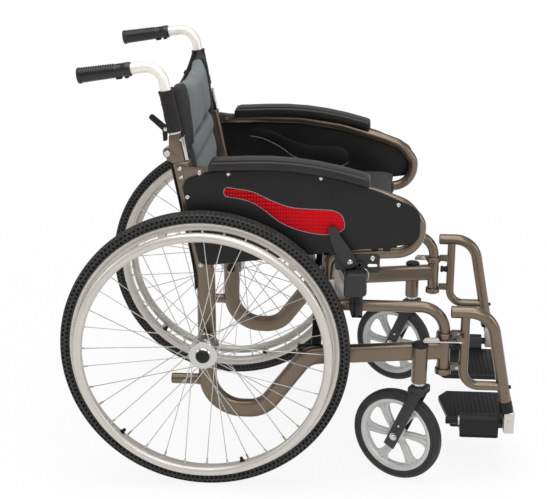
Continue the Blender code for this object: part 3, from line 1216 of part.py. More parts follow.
wheels = pair_of_empties("rear_wheel", WHEEL_X, 0, WHEEL_RADIUS, SIDES)
swivels = pair_of_empties("caster_swivel", CASTER_X, CASTER_STEM_Y, HOUSING_BOTTOM_Z, SIDES,
                          -CASTER_SWIVEL)
casters = pair_of_empties("caster_wheel", CASTER_X, CASTER_STEM_Y + CASTER_TRAIL, CASTER_RADIUS,
                          swivels)
arms = pair_of_empties("armrest", ARM_X, *ARM_PIVOT, SIDES)
canes = pair_of_empties("back_cane", FRAME_X, *CANE_PIVOT, SIDES)
releases = pair_of_empties("cane_release", FRAME_X, *lever_pivot(), canes)
levers = pair_of_empties("brake_lever", SHOE_X, *BRAKE_PIVOT, SIDES)
shoes = pair_of_empties("brake_shoe", SHOE_X, *SHOE_PIVOT, SIDES)
hangers = pair_of_empties("hanger", FRAME_X, POST_Y, POST_BOTTOM_Z, SIDES)
latches = pair_of_empties("hanger_latch", *latch_pivot(), hangers)
extensions = pair_of_empties("extension", FRAME_X, *HANGER_END, hangers)
plates = pair_of_empties("footplate", PLATE_AXLE_X, HANGER_END[0], PLATE_AXLE_Z, extensions)

place_pair(side_frame(), "side_frame", BRONZE, SIDES)
place_pair(front_frame(), "front_frame", BRONZE, SIDES)
place_pair(rear_axle(), "rear_axle", BLACK_PLASTIC, SIDES)
place_pair(rear_tyre(), "rear_tyre", TYRE_RUBBER, wheels)
place_pair(rear_rim(), "rear_rim", SILVER, wheels)
place_pair(spoked_hub(), "spoked_hub", SILVER, wheels)
place_pair(pushrim(), "pushrim", SILVER, wheels)
place_pair(caster_fork(), "caster_fork", BLACK_STEEL, swivels)
place_pair(caster_axle(), "caster_axle", CHROME, swivels)
place_pair(caster_wheel(), "caster_wheel", GREY_CAST, casters)
place_pair(caster_tyre(), "caster_tyre", TYRE_RUBBER, casters)
place_pair(armrest_hinge(), "armrest_hinge", CHROME, SIDES)
place_pair(armrest_tube(), "armrest_tube", BRONZE, arms)
place_pair(armrest_pad(), "armrest_pad", DARK_GREY_PLASTIC, arms)
place_pair(armrest_panel(), "armrest_panel", BLACK_PLASTIC, arms)
place_pair(cane_bracket(), "cane_bracket", BRONZE, SIDES)
place_pair(back_cane(), "back_cane", SILVER, canes)
place_pair(grip(), "grip", BLACK_PLASTIC, canes)
place_pair(cane_release_lever(), "cane_release_lever", BLACK_PLASTIC, releases)
place_pair(brake_mount(), "brake_mount", BLACK_STEEL, SIDES)
place_pair(brake_shoe(), "brake_shoe", DARK_GREY_PLASTIC, shoes)
place_pair(brake_lever(), "brake_lever", DARK_GREY_PLASTIC, levers)
place_pair(footrest_hanger(), "footrest_hanger", BRONZE, hangers)
place_pair(hanger_latch(), "hanger_latch", CHROME, latches)
place_pair(footrest_extension(), "footrest_extension", SILVER, extensions)
place_pair(footplate(), "footplate", BLACK_PLASTIC, plates)

place(brace_arm(1), "brace_front_arm", BLACK_STEEL, brace_front_axis)
place(brace_arm(-1), "brace_rear_arm", BLACK_STEEL, brace_rear_axis)
place(brace_bolt(), "brace_bolt", CHROME, brace_front_axis)
place(seat_sling(), "seat_sling", BLACK_FABRIC, brace_front_axis)
place(seat_cushion(), "seat_cushion", SEAT_FABRIC, brace_front_axis)
place(back_upper(), "back_upper", GREY_FABRIC, canes["right"])
place(back_lower(), "back_lower", GREY_FABRIC, chair)
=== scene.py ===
"""Folding wheelchair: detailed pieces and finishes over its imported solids.

Stations along Y are counted from the rear axle and heights from the floor, as the
solids' source does; every mesh is shifted to the solids' own frame when it is placed.
"""
import math

import bmesh
import bpy
from bpy.props import FloatProperty, FloatVectorProperty, IntProperty, PointerProperty
from mathutils import Matrix, Vector


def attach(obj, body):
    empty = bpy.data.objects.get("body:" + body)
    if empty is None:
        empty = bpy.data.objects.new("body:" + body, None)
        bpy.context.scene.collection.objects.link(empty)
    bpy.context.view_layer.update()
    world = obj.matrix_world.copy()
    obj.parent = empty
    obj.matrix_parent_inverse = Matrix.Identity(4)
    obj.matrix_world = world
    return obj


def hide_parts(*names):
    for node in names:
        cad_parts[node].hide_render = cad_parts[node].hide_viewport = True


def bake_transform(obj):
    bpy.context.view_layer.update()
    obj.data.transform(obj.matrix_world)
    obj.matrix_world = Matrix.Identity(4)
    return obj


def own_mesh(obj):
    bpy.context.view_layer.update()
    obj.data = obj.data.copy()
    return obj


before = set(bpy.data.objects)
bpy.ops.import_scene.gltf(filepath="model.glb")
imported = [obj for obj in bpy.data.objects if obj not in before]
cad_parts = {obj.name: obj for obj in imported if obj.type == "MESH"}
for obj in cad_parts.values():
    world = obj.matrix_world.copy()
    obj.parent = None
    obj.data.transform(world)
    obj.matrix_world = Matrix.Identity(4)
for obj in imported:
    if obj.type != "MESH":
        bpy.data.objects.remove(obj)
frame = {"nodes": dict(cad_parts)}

bl_info = {
    "name": "Folding wheelchair",
    "version": (1, 0, 0),
    "blender": (4, 5, 0),
    "location": "3D View > Sidebar > Wheelchair",
    "description": "Detailed pieces and finishes of a folding wheelchair",
    "category": "Add Mesh",
}

# Sizes shared with the solids, in metres
CENTRE_SHIFT = 0.1785
WHEEL_RADIUS = 0.305
WHEEL_X = 0.2938
RIM_INNER_RADIUS = 0.2657
SPOKE_LEAD = math.radians(50)
HUB_END = 0.0285
RING_RADIUS = 0.26125
RING_TUBE = 0.00975
RING_OFFSET = 0.037
FRAME_X = 0.245
BACK_LEAN = math.radians(11)
UPRIGHT_BEND_Z = 0.462
UPRIGHT_TOP_Z = 0.700
LOOP_BOTTOM_Z = 0.154
LOOP_FRONT_Y = -0.119
RAIL_REAR = (-0.212, 0.281)
RAIL_RISE = math.radians(4.35)
STUB_Z = 0.219
SEAT_RAIL_Z = 0.398
SEAT_RAIL_RADIUS = 0.012
SEAT_RAIL_REAR_Y = -0.262
POST_Y = -0.500
POST_RADIUS = 0.0135
POST_BOTTOM_Z = 0.2625
POST_TOP_Z = 0.3305
CASTER_RADIUS = 0.1016
CASTER_X = 0.259
STEM_Y = -0.450
CASTER_TRAIL = 0.046
CASTER_SWIVEL = math.radians(28)
HOUSING_RADIUS = 0.0165
HOUSING_BOTTOM_Z = 0.2345
HOUSING_TOP_Z = 0.324
BRACE_Y = -0.220
BRACE_PIVOT_X = 0.2165
BRACE_PIVOT_Z = 0.283
SEAT_TUBE_Z = 0.525
SEAT_TUBE_RADIUS = 0.011
SEAT_TUBE_FRONT_Y = -0.396
SEAT_TUBE_REAR_Y = -0.045
SEAT_HALF_WIDTH = 0.2275
SLING_Z = 0.5378
CUSHION_Z = 0.5396
CUSHION_THICKNESS = 0.030
CUSHION_FRONT_Y = -0.404
CUSHION_REAR_Y = -0.035
ARM_X = 0.255
ARM_TUBE_RADIUS = 0.0115
ARM_PIVOT = (0.008, 0.681)
ARM_TAIL = (-0.254, 0.462)
PANEL_INNER_X = 0.2668
PANEL_OUTER_X = 0.2708
PAD_WIDTH = 0.052
CANE_RADIUS = 0.011
CANE_BOTTOM_Z = 0.7585
CANE_PIVOT = (0.073, 0.719)
HANDLE_CORNER_Z = 0.8965
HANDLE_END = (0.2485, 0.8730)
GRIP_LENGTH = 0.110
BACK_SPLIT_Z = 0.728
BACK_TOP_Z = 0.850
BACK_BOTTOM_Z = 0.530
BACK_HALF_WIDTH = 0.150
WING_INNER_X = 0.1445
WING_OUTER_X = 0.2235
LUMBAR_ROWS = ((0.532, 0.566, 0.013), (0.568, 0.620, 0.015), (0.622, 0.678, 0.018),
               (0.680, 0.727, 0.023))
LOWER_SHEET_X = 0.2555
UPPER_SHEET_X = 0.2290
SHEET_THICKNESS = 0.0018
BRAKE_PIVOT = (-0.300, 0.507)
SHOE_PIVOT = (-0.320, 0.498)
BRAKE_PLATE_X = 0.2692
SHOE_LOW = (0.2738, -0.336, 0.436)
SHOE_HIGH = (0.3098, -0.288, 0.4885)
HANGER_RADIUS = 0.0128
HANGER_TOP_Z = 0.3885
HANGER_REAR_Y = -0.513
HANGER_CORNER_Y = -0.596
HANGER_END = (-0.634, 0.190)
STRUT_RADIUS = 0.0098
STRUT_Y = -0.5425
STRUT_BOTTOM_Z = 0.2235
PLATE_AXLE_X = 0.226
PLATE_AXLE_Z = 0.131
PLATE_TOP_Z = 0.118
PLATE_THICKNESS = 0.012
PLATE_INNER_X = 0.046
PLATE_OUTER_X = 0.208
PLATE_FRONT_Y = -0.662
PLATE_REAR_Y = -0.504
RIB_PITCH = 0.0095

# The photograph's camera, in stations
PHOTO_WIDTH = 547
FOCAL_PIXELS = 1259.1
CAMERA_AT = (-2.7076, -0.3256, 1.3431)
CAMERA_YAW = math.radians(4.279)
CAMERA_PITCH = math.radians(18.515)

# Local X and Y become the chair's Y and Z, and thickness lies along X.
SIDE_PLANE = Matrix(((0, 0, 1, 0), (1, 0, 0, 0), (0, 1, 0, 0), (0, 0, 0, 1)))
# Local X and Y become X and Z, and thickness lies along -Y.
FRONT_PLANE = Matrix(((1, 0, 0, 0), (0, 0, -1, 0), (0, 1, 0, 0), (0, 0, 0, 1)))
FLAT = Matrix.Identity(4)
WHEEL_AT = Matrix.Translation((WHEEL_X, 0, WHEEL_RADIUS))
CASTER_AT = Matrix.Translation((CASTER_X, STEM_Y + CASTER_TRAIL, CASTER_RADIUS))


def back_y(z):
    """Station of the leaning upright's and cane's centre line at height z."""
    return max(0.0, z - UPRIGHT_BEND_Z) * math.tan(BACK_LEAN)


def rail_z(y):
    """Height of the lower rail's centre line at station y."""
    return RAIL_REAR[1] + (RAIL_REAR[0] - y) * math.tan(RAIL_RISE)


# Settings

class ChairColours(bpy.types.PropertyGroup):
    frame: FloatVectorProperty(name="Frame", subtype="COLOR", default=(0.180, 0.137, 0.098),
                               description="Metallic paint of the tubes")
    aluminium: FloatVectorProperty(name="Rims", subtype="COLOR", default=(0.62, 0.585, 0.535),
                                   description="Anodised rims, push rims and canes")
    inlay: FloatVectorProperty(name="Inlay", subtype="COLOR", default=(0.56, 0.002, 0.008),
                               description="Reflective wave in the side panels")
    back: FloatVectorProperty(name="Back", subtype="COLOR", default=(0.150, 0.166, 0.168),
                              description="Spacer mesh of the back pads")
    seat: FloatVectorProperty(name="Seat", subtype="COLOR", default=(0.020, 0.0205, 0.022),
                              description="Woven cover of the seat cushion")


class ChairSizes(bpy.types.PropertyGroup):
    tyre_holes: IntProperty(name="Tyre holes", default=180, min=60, max=240,
                            description="Holes in each row of a rear tyre's side")
    hole_depth: FloatProperty(name="Hole depth", default=0.0060, unit="LENGTH",
                              description="How deep the holes in a rear tyre's side are")
    spokes: IntProperty(name="Spokes", default=36, min=16, max=48,
                        description="Spokes in each rear wheel")
    spoke_diameter: FloatProperty(name="Spoke diameter", default=0.0020, unit="LENGTH",
                                  description="Wire diameter of the spokes")
    weave: FloatProperty(name="Weave pitch", default=0.0022, unit="LENGTH",
                         description="Distance between threads of the fabrics")


# Shader expressions

class Wire:
    """A shader socket that takes part in Python expressions."""

    def __init__(self, board, socket):
        self.board = board
        self.socket = socket

    def __add__(self, other):
        return self.board.math("ADD", self, other)

    def __radd__(self, other):
        return self.board.math("ADD", other, self)

    def __sub__(self, other):
        return self.board.math("SUBTRACT", self, other)

    def __rsub__(self, other):
        return self.board.math("SUBTRACT", other, self)

    def __mul__(self, other):
        return self.board.math("MULTIPLY", self, other)

    def __rmul__(self, other):
        return self.board.math("MULTIPLY", other, self)

    def __truediv__(self, other):
        return self.board.math("DIVIDE", self, other)


class Board:
    """The node tree of one finish."""

    def __init__(self, name, colour, roughness, metallic=0.0, **fixed):
        self.material = bpy.data.materials.new(name + "_finish")
        self.material.use_nodes = True
        self.material.diffuse_color = (*colour, 1.0)
        self.tree = self.material.node_tree
        self.shader = self.tree.nodes["Principled BSDF"]
        self.set("Base Color", colour)
        self.set("Roughness", roughness)
        self.set("Metallic", metallic)
        for key, value in fixed.items():
            self.set(key.replace("_", " ").title().replace("Ior", "IOR"), value)

    def feed(self, socket, value):
        if isinstance(value, Wire):
            self.tree.links.new(value.socket, socket)
        elif socket.type == "RGBA":
            socket.default_value = (*value[:3], 1.0)
        else:
            socket.default_value = value

    def set(self, name, value):
        self.feed(self.shader.inputs[name], value)

    def node(self, kind, settings=None, sockets=None, output=0):
        made = self.tree.nodes.new(kind)
        for key, value in (settings or {}).items():
            if key != "stops":
                setattr(made, key, value)
                continue
            for i, (place, colour) in enumerate(value):
                stops = made.color_ramp.elements
                stop = stops[i] if i < 2 else stops.new(place)
                stop.position = place
                stop.color = (*colour, 1.0)
        for key, value in (sockets or {}).items():
            self.feed(made.inputs[key], value)
        return Wire(self, made.outputs[output])

    def math(self, operation, *values):
        return self.node("ShaderNodeMath", {"operation": operation}, dict(enumerate(values)))

    def point(self):
        return self.node("ShaderNodeTexCoord", output="Object")

    def placed(self, scale=(1, 1, 1), turn=(0, 0, 0), shift=(0, 0, 0)):
        return self.node("ShaderNodeMapping", {}, {"Vector": self.point(), "Scale": scale,
                                                   "Rotation": turn, "Location": shift})

    def axes(self, vector):
        first = self.node("ShaderNodeSeparateXYZ", {}, {0: vector})
        return [Wire(self, output) for output in first.socket.node.outputs]

    def noise(self, vector, scale, detail=2.0, roughness=0.5):
        return self.node("ShaderNodeTexNoise", {}, {"Vector": vector, "Scale": scale,
                                                    "Detail": detail, "Roughness": roughness})

    def mix(self, factor, first, second):
        return self.node("ShaderNodeMix", {"data_type": "RGBA"},
                         {0: factor, 6: first, 7: second}, output=2)

    def step(self, value, low, high):
        """0 below low, 1 above high and smooth between them."""
        return self.node("ShaderNodeMapRange", {"interpolation_type": "SMOOTHSTEP"},
                         {"Value": value, "From Min": low, "From Max": high})

    def bump(self, height, distance, strength=1.0):
        self.set("Normal", self.node("ShaderNodeBump", {}, {
            "Height": height, "Distance": distance, "Strength": strength}))


def shade(colour, factor):
    return tuple(min(1.0, c * factor) for c in colour)


# Finishes

def bronze_paint(colours, sizes):
    base = tuple(colours.frame)
    b = Board("bronze_paint", base, 0.30, 0.82, coat_weight=0.25, coat_roughness=0.16)
    cloud = b.noise(b.point(), 14.0, 3.0)
    flake = b.noise(b.point(), 1400.0, 1.0)
    b.set("Base Color", b.mix(cloud * 0.7 + flake * 0.3, shade(base, 0.84), shade(base, 1.18)))
    b.set("Roughness", 0.25 + cloud * 0.07 + flake * 0.05)
    b.bump(flake, 0.00003)
    return b


def grained(b, dark, light, cloud_scale, grain_scale, gloss, depth):
    """Drift between two shades with a fine grain; gloss is floor, cloud and grain shares."""
    cloud = b.noise(b.point(), cloud_scale, 3.0)
    grain = b.noise(b.point(), grain_scale, 2.0)
    b.set("Base Color", b.mix(cloud, dark, light))
    floor, cloud_share, grain_share = gloss
    rough = floor
    if cloud_share:
        rough = rough + cloud * cloud_share
    if grain_share:
        rough = rough + grain * grain_share
    b.set("Roughness", rough)
    b.bump(grain, depth)
    return b


def silver_aluminium(colours, sizes):
    base = tuple(colours.aluminium)
    b = Board("silver_aluminium", base, 0.34, 0.55)
    return grained(b, shade(base, 0.93), shade(base, 1.06), 11.0, 700.0, (0.28, 0.05, 0.10),
                   0.00002)


def cane_aluminium_painted_highlight(colours, sizes):
    # Painted highlight: the canes use the rim aluminium brightened 1.42 times, a lit copy of the same
    # metal.
    base = shade(tuple(colours.aluminium), 1.42)
    b = Board("cane_aluminium_painted_highlight", base, 0.36, 0.45)
    return grained(b, shade(base, 0.94), shade(base, 1.04), 14.0, 800.0, (0.30, 0, 0.10), 0.00002)


def spoke_steel(colours, sizes):
    b = Board("spoke_steel", (0.60, 0.59, 0.57), 0.30, 0.85)
    grain = b.noise(b.point(), 500.0, 2.0)
    b.set("Roughness", 0.24 + grain * 0.14)
    return b


def chromed_steel(colours, sizes):
    b = Board("chromed_steel", (0.58, 0.57, 0.55), 0.14, 1.0)
    haze = b.noise(b.point(), 60.0, 3.0)
    b.set("Roughness", 0.10 + haze * 0.14)
    return b


def black_painted_steel(colours, sizes):
    b = Board("black_painted_steel", (0.018, 0.0165, 0.016), 0.42, 0.1)
    return grained(b, (0.014, 0.013, 0.0125), (0.027, 0.024, 0.023), 25.0, 1600.0,
                   (0.34, 0.12, 0), 0.00005)


def grey_casting(colours, sizes):
    b = Board("grey_casting", (0.58, 0.575, 0.56), 0.38, 0.25)
    return grained(b, (0.52, 0.515, 0.50), (0.64, 0.635, 0.62), 30.0, 1200.0, (0.36, 0, 0.16),
                   0.00004)


def tyre_rubber(colours, sizes):
    b = Board("tyre_rubber", (0.018, 0.017, 0.0165), 0.58, specular_ior_level=0.5)
    dust = b.noise(b.point(), 40.0, 5.0, 0.7)
    grain = b.noise(b.point(), 900.0, 2.0)
    b.set("Base Color", b.mix(b.step(dust, 0.40, 0.75), (0.014, 0.0135, 0.013),
                              (0.036, 0.033, 0.032)))
    b.set("Roughness", 0.50 + dust * 0.24)
    b.bump(grain, 0.00008)
    return b


def black_plastic(colours, sizes):
    b = Board("black_plastic", (0.009, 0.0085, 0.0085), 0.42, specular_ior_level=0.28)
    return grained(b, (0.006, 0.0055, 0.0055), (0.013, 0.012, 0.0115), 18.0, 1100.0,
                   (0.36, 0.14, 0), 0.00005)


def dark_grey_plastic(colours, sizes):
    b = Board("dark_grey_plastic", (0.026, 0.026, 0.028), 0.46, specular_ior_level=0.35)
    return grained(b, (0.020, 0.020, 0.022), (0.033, 0.032, 0.034), 18.0, 900.0,
                   (0.44, 0.12, 0), 0.00009)


def pad_plastic(colours, sizes):
    b = Board("pad_plastic", (0.012, 0.010, 0.0095), 0.36, specular_ior_level=0.38)
    cloud = b.noise(b.point(), 15.0, 3.0)
    leather = b.node("ShaderNodeTexVoronoi", {"feature": "F1"}, {"Vector": b.point(),
                                                                 "Scale": 900.0})
    b.set("Base Color", b.mix(cloud, (0.009, 0.0075, 0.007), (0.016, 0.0135, 0.0125)))
    b.set("Roughness", 0.30 + cloud * 0.14)
    b.bump(leather, 0.00006)
    return b


def grip_rubber(colours, sizes):
    b = Board("grip_rubber", (0.011, 0.009, 0.008), 0.30, specular_ior_level=0.5)
    return grained(b, (0.008, 0.0065, 0.006), (0.016, 0.013, 0.0115), 60.0, 1300.0,
                   (0.24, 0.14, 0), 0.00005)


def threads(b, pitch, across, along):
    """Height of a plain weave whose threads run along two axes."""
    turns = 2 * math.pi / pitch
    first = b.math("SINE", across * turns)
    second = b.math("SINE", along * turns)
    return b.math("ABSOLUTE", first) * 0.5 + b.math("ABSOLUTE", second) * 0.5


def black_nylon(colours, sizes):
    b = Board("black_nylon", (0.012, 0.011, 0.0105), 0.72, specular_ior_level=0.3,
              sheen_weight=0.05, sheen_roughness=0.4)
    x, y, z = b.axes(b.point())
    cloth = threads(b, sizes.weave * 0.7, x + y * 0.4, z - y * 0.4)
    wrinkle = b.noise(b.point(), 22.0, 4.0)
    b.set("Base Color", b.mix(cloth * 0.6 + wrinkle * 0.5, (0.006, 0.0052, 0.005),
                              (0.024, 0.021, 0.020)))
    b.set("Roughness", 0.66 + wrinkle * 0.2)
    b.bump(cloth * 0.15 + wrinkle, 0.0022)
    return b


def seat_fabric(colours, sizes):
    base = tuple(colours.seat)
    b = Board("seat_fabric", base, 0.88, specular_ior_level=0.3,
              sheen_weight=0.06, sheen_roughness=0.5)
    x, y, z = b.axes(b.point())
    cloth = threads(b, sizes.weave, x + z * 0.3, y + z * 0.3)
    fuzz = b.noise(b.point(), 350.0, 3.0)
    b.set("Base Color", b.mix(cloth * 0.7 + fuzz * 0.4, shade(base, 0.65), shade(base, 1.5)))
    b.set("Roughness", 0.80 + fuzz * 0.15)
    b.bump(cloth + fuzz * 0.3, 0.0004)
    return b


def back_fabric(colours, sizes):
    base = tuple(colours.back)
    b = Board("back_fabric", base, 0.92, specular_ior_level=0.3, sheen_weight=0.12,
              sheen_roughness=0.5)
    x, y, z = b.axes(b.point())
    rows = b.math("ABSOLUTE", b.math("SINE", z * (math.pi / sizes.weave)))
    cells = b.math("ABSOLUTE", b.math("SINE", x * (math.pi / sizes.weave)
                                      + b.math("FLOOR", z / sizes.weave) * (math.pi / 2)))
    holes = b.step(rows * cells, 0.45, 0.85)
    fuzz = b.noise(b.point(), 300.0, 3.0)
    cloud = b.noise(b.point(), 16.0, 3.0)
    thread = b.mix(fuzz * 0.6 + cloud * 0.4, shade(base, 0.86), shade(base, 1.18))
    b.set("Base Color", b.mix(holes * 0.45, thread, shade(base, 0.45)))
    b.set("Roughness", 0.84 + fuzz * 0.12)
    b.bump(fuzz * 0.4 - holes, 0.0004)
    return b


def red_inlay(colours, sizes):
    """Reflective sheet with small raised cells, dark in the joints between them."""
    base = tuple(colours.inlay)
    b = Board("red_inlay", base, 0.45, specular_ior_level=0.12)
    cells = b.node("ShaderNodeTexVoronoi", {"feature": "DISTANCE_TO_EDGE"}, {
        "Vector": b.placed(scale=(1.0, 1.0, 0.75)), "Scale": 165.0, "Randomness": 0.15})
    joint = 1 - b.step(cells, 0.04, 0.16)
    x, y, z = b.axes(b.point())
    fade = b.step(y, -0.060, 0.095)
    b.set("Base Color", b.mix(joint * (0.25 + fade * 0.75), base, shade(base, 0.06)))
    b.set("Roughness", 0.40 + joint * 0.4)
    b.bump(cells, 0.0006)
    return b


def grey_trim(colours, sizes):
    b = Board("grey_trim", (0.20, 0.20, 0.195), 0.45)
    cloud = b.noise(b.point(), 80.0, 2.0)
    b.set("Roughness", 0.38 + cloud * 0.15)
    return b


FINISHES = {make.__name__: make for make in (
    bronze_paint, silver_aluminium, cane_aluminium_painted_highlight, spoke_steel, chromed_steel, black_painted_steel,
    grey_casting, tyre_rubber, black_plastic, dark_grey_plastic, pad_plastic, grip_rubber,
    black_nylon, seat_fabric, back_fabric, red_inlay, grey_trim)}


def finish(name):
    known = bpy.data.materials.get(name + "_finish")
    if known:
        return known
    scene = bpy.context.scene
    return FINISHES[name](scene.chair_colours, scene.chair_sizes).material


# Shapes

def shifted(bm, matrix):
    bmesh.ops.transform(bm, matrix=matrix, verts=bm.verts)
    return bm


def merged(first, *others):
    for other in others:
        mesh = bpy.data.meshes.new("shell")
        other.to_mesh(mesh)
        other.free()
        first.from_mesh(mesh)
        bpy.data.meshes.remove(mesh)
    return first


def softened(bm, width, segments=2, angle=30.0):
    """Round every edge that turns by more than angle."""
    sharp = [edge for edge in bm.edges if edge.is_manifold
             and abs(edge.calc_face_angle(0.0)) > math.radians(angle)]
    bmesh.ops.bevel(bm, geom=sharp, offset=width, offset_type="OFFSET", segments=segments,
                    profile=0.5, affect="EDGES", clamp_overlap=True, material=-1)
    return bm


def box(low, high, bevel=0.0, segments=2):
    low, high = Vector(low), Vector(high)
    bm = bmesh.new()
    bmesh.ops.create_cube(bm, size=1.0)
    bmesh.ops.scale(bm, vec=high - low, verts=bm.verts)
    bmesh.ops.translate(bm, vec=(low + high) / 2, verts=bm.verts)
    return softened(bm, bevel, segments) if bevel else bm


def rod(start, end, radius, sides=28, end_radius=None, bevel=0.0):
    start, end = Vector(start), Vector(end)
    bm = bmesh.new()
    bmesh.ops.create_cone(bm, cap_ends=True, segments=sides, radius1=radius,
                          radius2=radius if end_radius is None else end_radius,
                          depth=(end - start).length)
    turn = (end - start).to_track_quat("Z", "Y").to_matrix().to_4x4()
    shifted(bm, Matrix.Translation((start + end) / 2) @ turn)
    return softened(bm, bevel, 2, 50.0) if bevel else bm


def lathe(profile, steps=64):
    """Spin a profile of (x, radius) points round X; it is closed unless it ends on X."""
    bm = bmesh.new()
    verts = [bm.verts.new((x, 0.0, radius)) for x, radius in profile]
    pairs = list(zip(verts, verts[1:]))
    if profile[0][1] > 0 or profile[-1][1] > 0:
        pairs.append((verts[-1], verts[0]))
    for pair_of_verts in pairs:
        bm.edges.new(pair_of_verts)
    bmesh.ops.spin(bm, geom=[*bm.verts, *bm.edges], axis=(1, 0, 0), cent=(0, 0, 0),
                   angle=2 * math.pi, steps=steps, use_merge=True)
    bmesh.ops.remove_doubles(bm, verts=bm.verts, dist=0.000002)
    bmesh.ops.recalc_face_normals(bm, faces=bm.faces)
    return bm


def aimed(bm, start, end):
    """Place a shape lathed round X so that its X axis runs from start towards end."""
    start, end = Vector(start), Vector(end)
    turn = (end - start).to_track_quat("X", "Z").to_matrix().to_4x4()
    return shifted(bm, Matrix.Translation(start) @ turn)


def standing(bm, x, y):
    """Turn a shape lathed round X upright on the spot (x, y); its own x becomes height."""
    return aimed(bm, (x, y, 0), (x, y, 1))


def spun(bm, angle):
    return shifted(bm, Matrix.Rotation(angle, 4, "X"))


def filleted(corners, closed=False, step=math.radians(8)):
    """Points of a path or outline whose corners (a, b, radius) are rounded by arcs."""
    points = []
    count = len(corners)
    for i, corner in enumerate(corners):
        here = Vector(corner[:2])
        radius = corner[2] if len(corner) > 2 else 0.0
        if radius == 0 or (not closed and i in (0, count - 1)):
            points.append(here)
            continue
        back = (Vector(corners[i - 1][:2]) - here).normalized()
        ahead = (Vector(corners[(i + 1) % count][:2]) - here).normalized()
        half = back.angle(ahead) / 2
        reach = radius / math.tan(half)
        centre = here + (back + ahead).normalized() * (radius / math.sin(half))
        first = here + back * reach - centre
        sweep = first.angle_signed(here + ahead * reach - centre)
        arcs = max(1, round(abs(sweep) / step))
        for k in range(arcs + 1):
            points.append(centre + Matrix.Rotation(-sweep * k / arcs, 2) @ first)
    return points


def slab(outline, low, high, plane=SIDE_PLANE, bevel=0.0, segments=2):
    """Plate of an outline in a plane, from low to high across it."""
    bm = bmesh.new()
    face = bm.faces.new([bm.verts.new((a, b, low)) for a, b in outline])
    made = bmesh.ops.extrude_face_region(bm, geom=[face])["geom"]
    top = [item for item in made if isinstance(item, bmesh.types.BMVert)]
    bmesh.ops.translate(bm, vec=(0, 0, high - low), verts=top)
    bmesh.ops.recalc_face_normals(bm, faces=bm.faces)
    if bevel:
        flat = {f for f in bm.faces if abs(f.normal.z) > 0.9}
        rim = [e for e in bm.edges if len(flat.intersection(e.link_faces)) == 1]
        bmesh.ops.bevel(bm, geom=rim, offset=bevel, offset_type="OFFSET", segments=segments,
                        profile=0.5, affect="EDGES", clamp_overlap=True, material=-1)
    return shifted(bm, plane)


def circle(radius, sides=24):
    return [(radius * math.cos(2 * math.pi * k / sides), radius * math.sin(2 * math.pi * k / sides))
            for k in range(sides)]


def rounded(width, depth, corner):
    w, d = width / 2, depth / 2
    return filleted([(-w, -d, corner), (w, -d, corner), (w, d, corner), (-w, d, corner)],
                    closed=True, step=math.radians(22.5))


def swept(path, section, side=(1, 0, 0), caps=True):
    """Extrude a section ring along a 3-D path; the section's X stays along side at first."""
    path = [Vector(point) for point in path]
    legs = [(b - a).normalized() for a, b in zip(path, path[1:])]
    heads = [legs[0]] + [(a + b).normalized() for a, b in zip(legs, legs[1:])] + [legs[-1]]
    across = (Vector(side) - heads[0] * Vector(side).dot(heads[0])).normalized()
    up = heads[0].cross(across)
    lie = Matrix((across, up, heads[0])).transposed().to_4x4()
    bm = bmesh.new()
    verts = [bm.verts.new((a, b, 0)) for a, b in section]
    edges = [bm.edges.new(pair_of_verts) for pair_of_verts in zip(verts, verts[1:] + verts[:1])]
    first = list(edges)
    shifted(bm, Matrix.Translation(path[0]) @ lie)
    for i in range(1, len(path)):
        made = bmesh.ops.extrude_edge_only(bm, edges=edges)["geom"]
        verts = [item for item in made if isinstance(item, bmesh.types.BMVert)]
        ring = set(verts)
        edges = [item for item in made if isinstance(item, bmesh.types.BMEdge)
                 and ring.issuperset(item.verts)]
        turn = heads[i - 1].rotation_difference(heads[i]).to_matrix().to_4x4()
        bmesh.ops.transform(bm, verts=verts, matrix=Matrix.Translation(path[i]) @ turn
                            @ Matrix.Translation(-path[i - 1]))
    if caps:
        bmesh.ops.contextual_create(bm, geom=first)
        bmesh.ops.contextual_create(bm, geom=edges)
    bmesh.ops.recalc_face_normals(bm, faces=bm.faces)
    return bm


def tube(path, radius, x, sides=24):
    """Round tube along (y, z) points in the plane at x."""
    return swept([(x, y, z) for y, z in path], circle(radius, sides))


def screw_head(place_at, direction, radius=0.0048, height=0.0026, recess="cross"):
    """Domed screw head with a cross recess, or none, facing direction."""
    profile = [(-0.0005, 0), (-0.0005, radius), (height * 0.35, radius),
               (height * 0.8, radius * 0.82), (height, radius * 0.5), (height, 0)]
    head = lathe(profile, 24)
    if recess == "cross":
        cap = [f for f in head.faces if f.normal.x > 0.95]
        bmesh.ops.inset_region(head, faces=cap, thickness=radius * 0.12, depth=-height * 0.35)
    start = Vector(place_at)
    return aimed(head, start, start + Vector(direction))


def hex_head(place_at, direction, across=0.010, height=0.004):
    start = Vector(place_at)
    head = rod(start, start + Vector(direction).normalized() * height,
               across / 2 / math.cos(math.pi / 6), 6)
    return softened(head, 0.0005, 1, 40.0)


def mirrored(half, middle=()):
    """Profile symmetric about the wheel's mid-plane."""
    return [(-x, r) for x, r in half] + list(middle) + half[::-1]


def polar(corners):
    """Corners (radius, degrees, fillet) as (a, b, fillet)."""
    return [(r * math.cos(math.radians(a)), r * math.sin(math.radians(a)), *rest)
            for r, a, *rest in corners]


def smoothed(points, per=6):
    """Open Catmull-Rom curve through points."""
    points = [Vector(point) for point in points]
    points = [2 * points[0] - points[1], *points, 2 * points[-1] - points[-2]]
    made = []
    for a, b, c, d in zip(points, points[1:], points[2:], points[3:]):
        for k in range(per):
            t = k / per
            made.append(0.5 * (2 * b + (c - a) * t + (2 * a - 5 * b + 4 * c - d) * t * t
                               + (3 * b - a - 3 * c + d) * t ** 3))
    return made + [points[-2]]


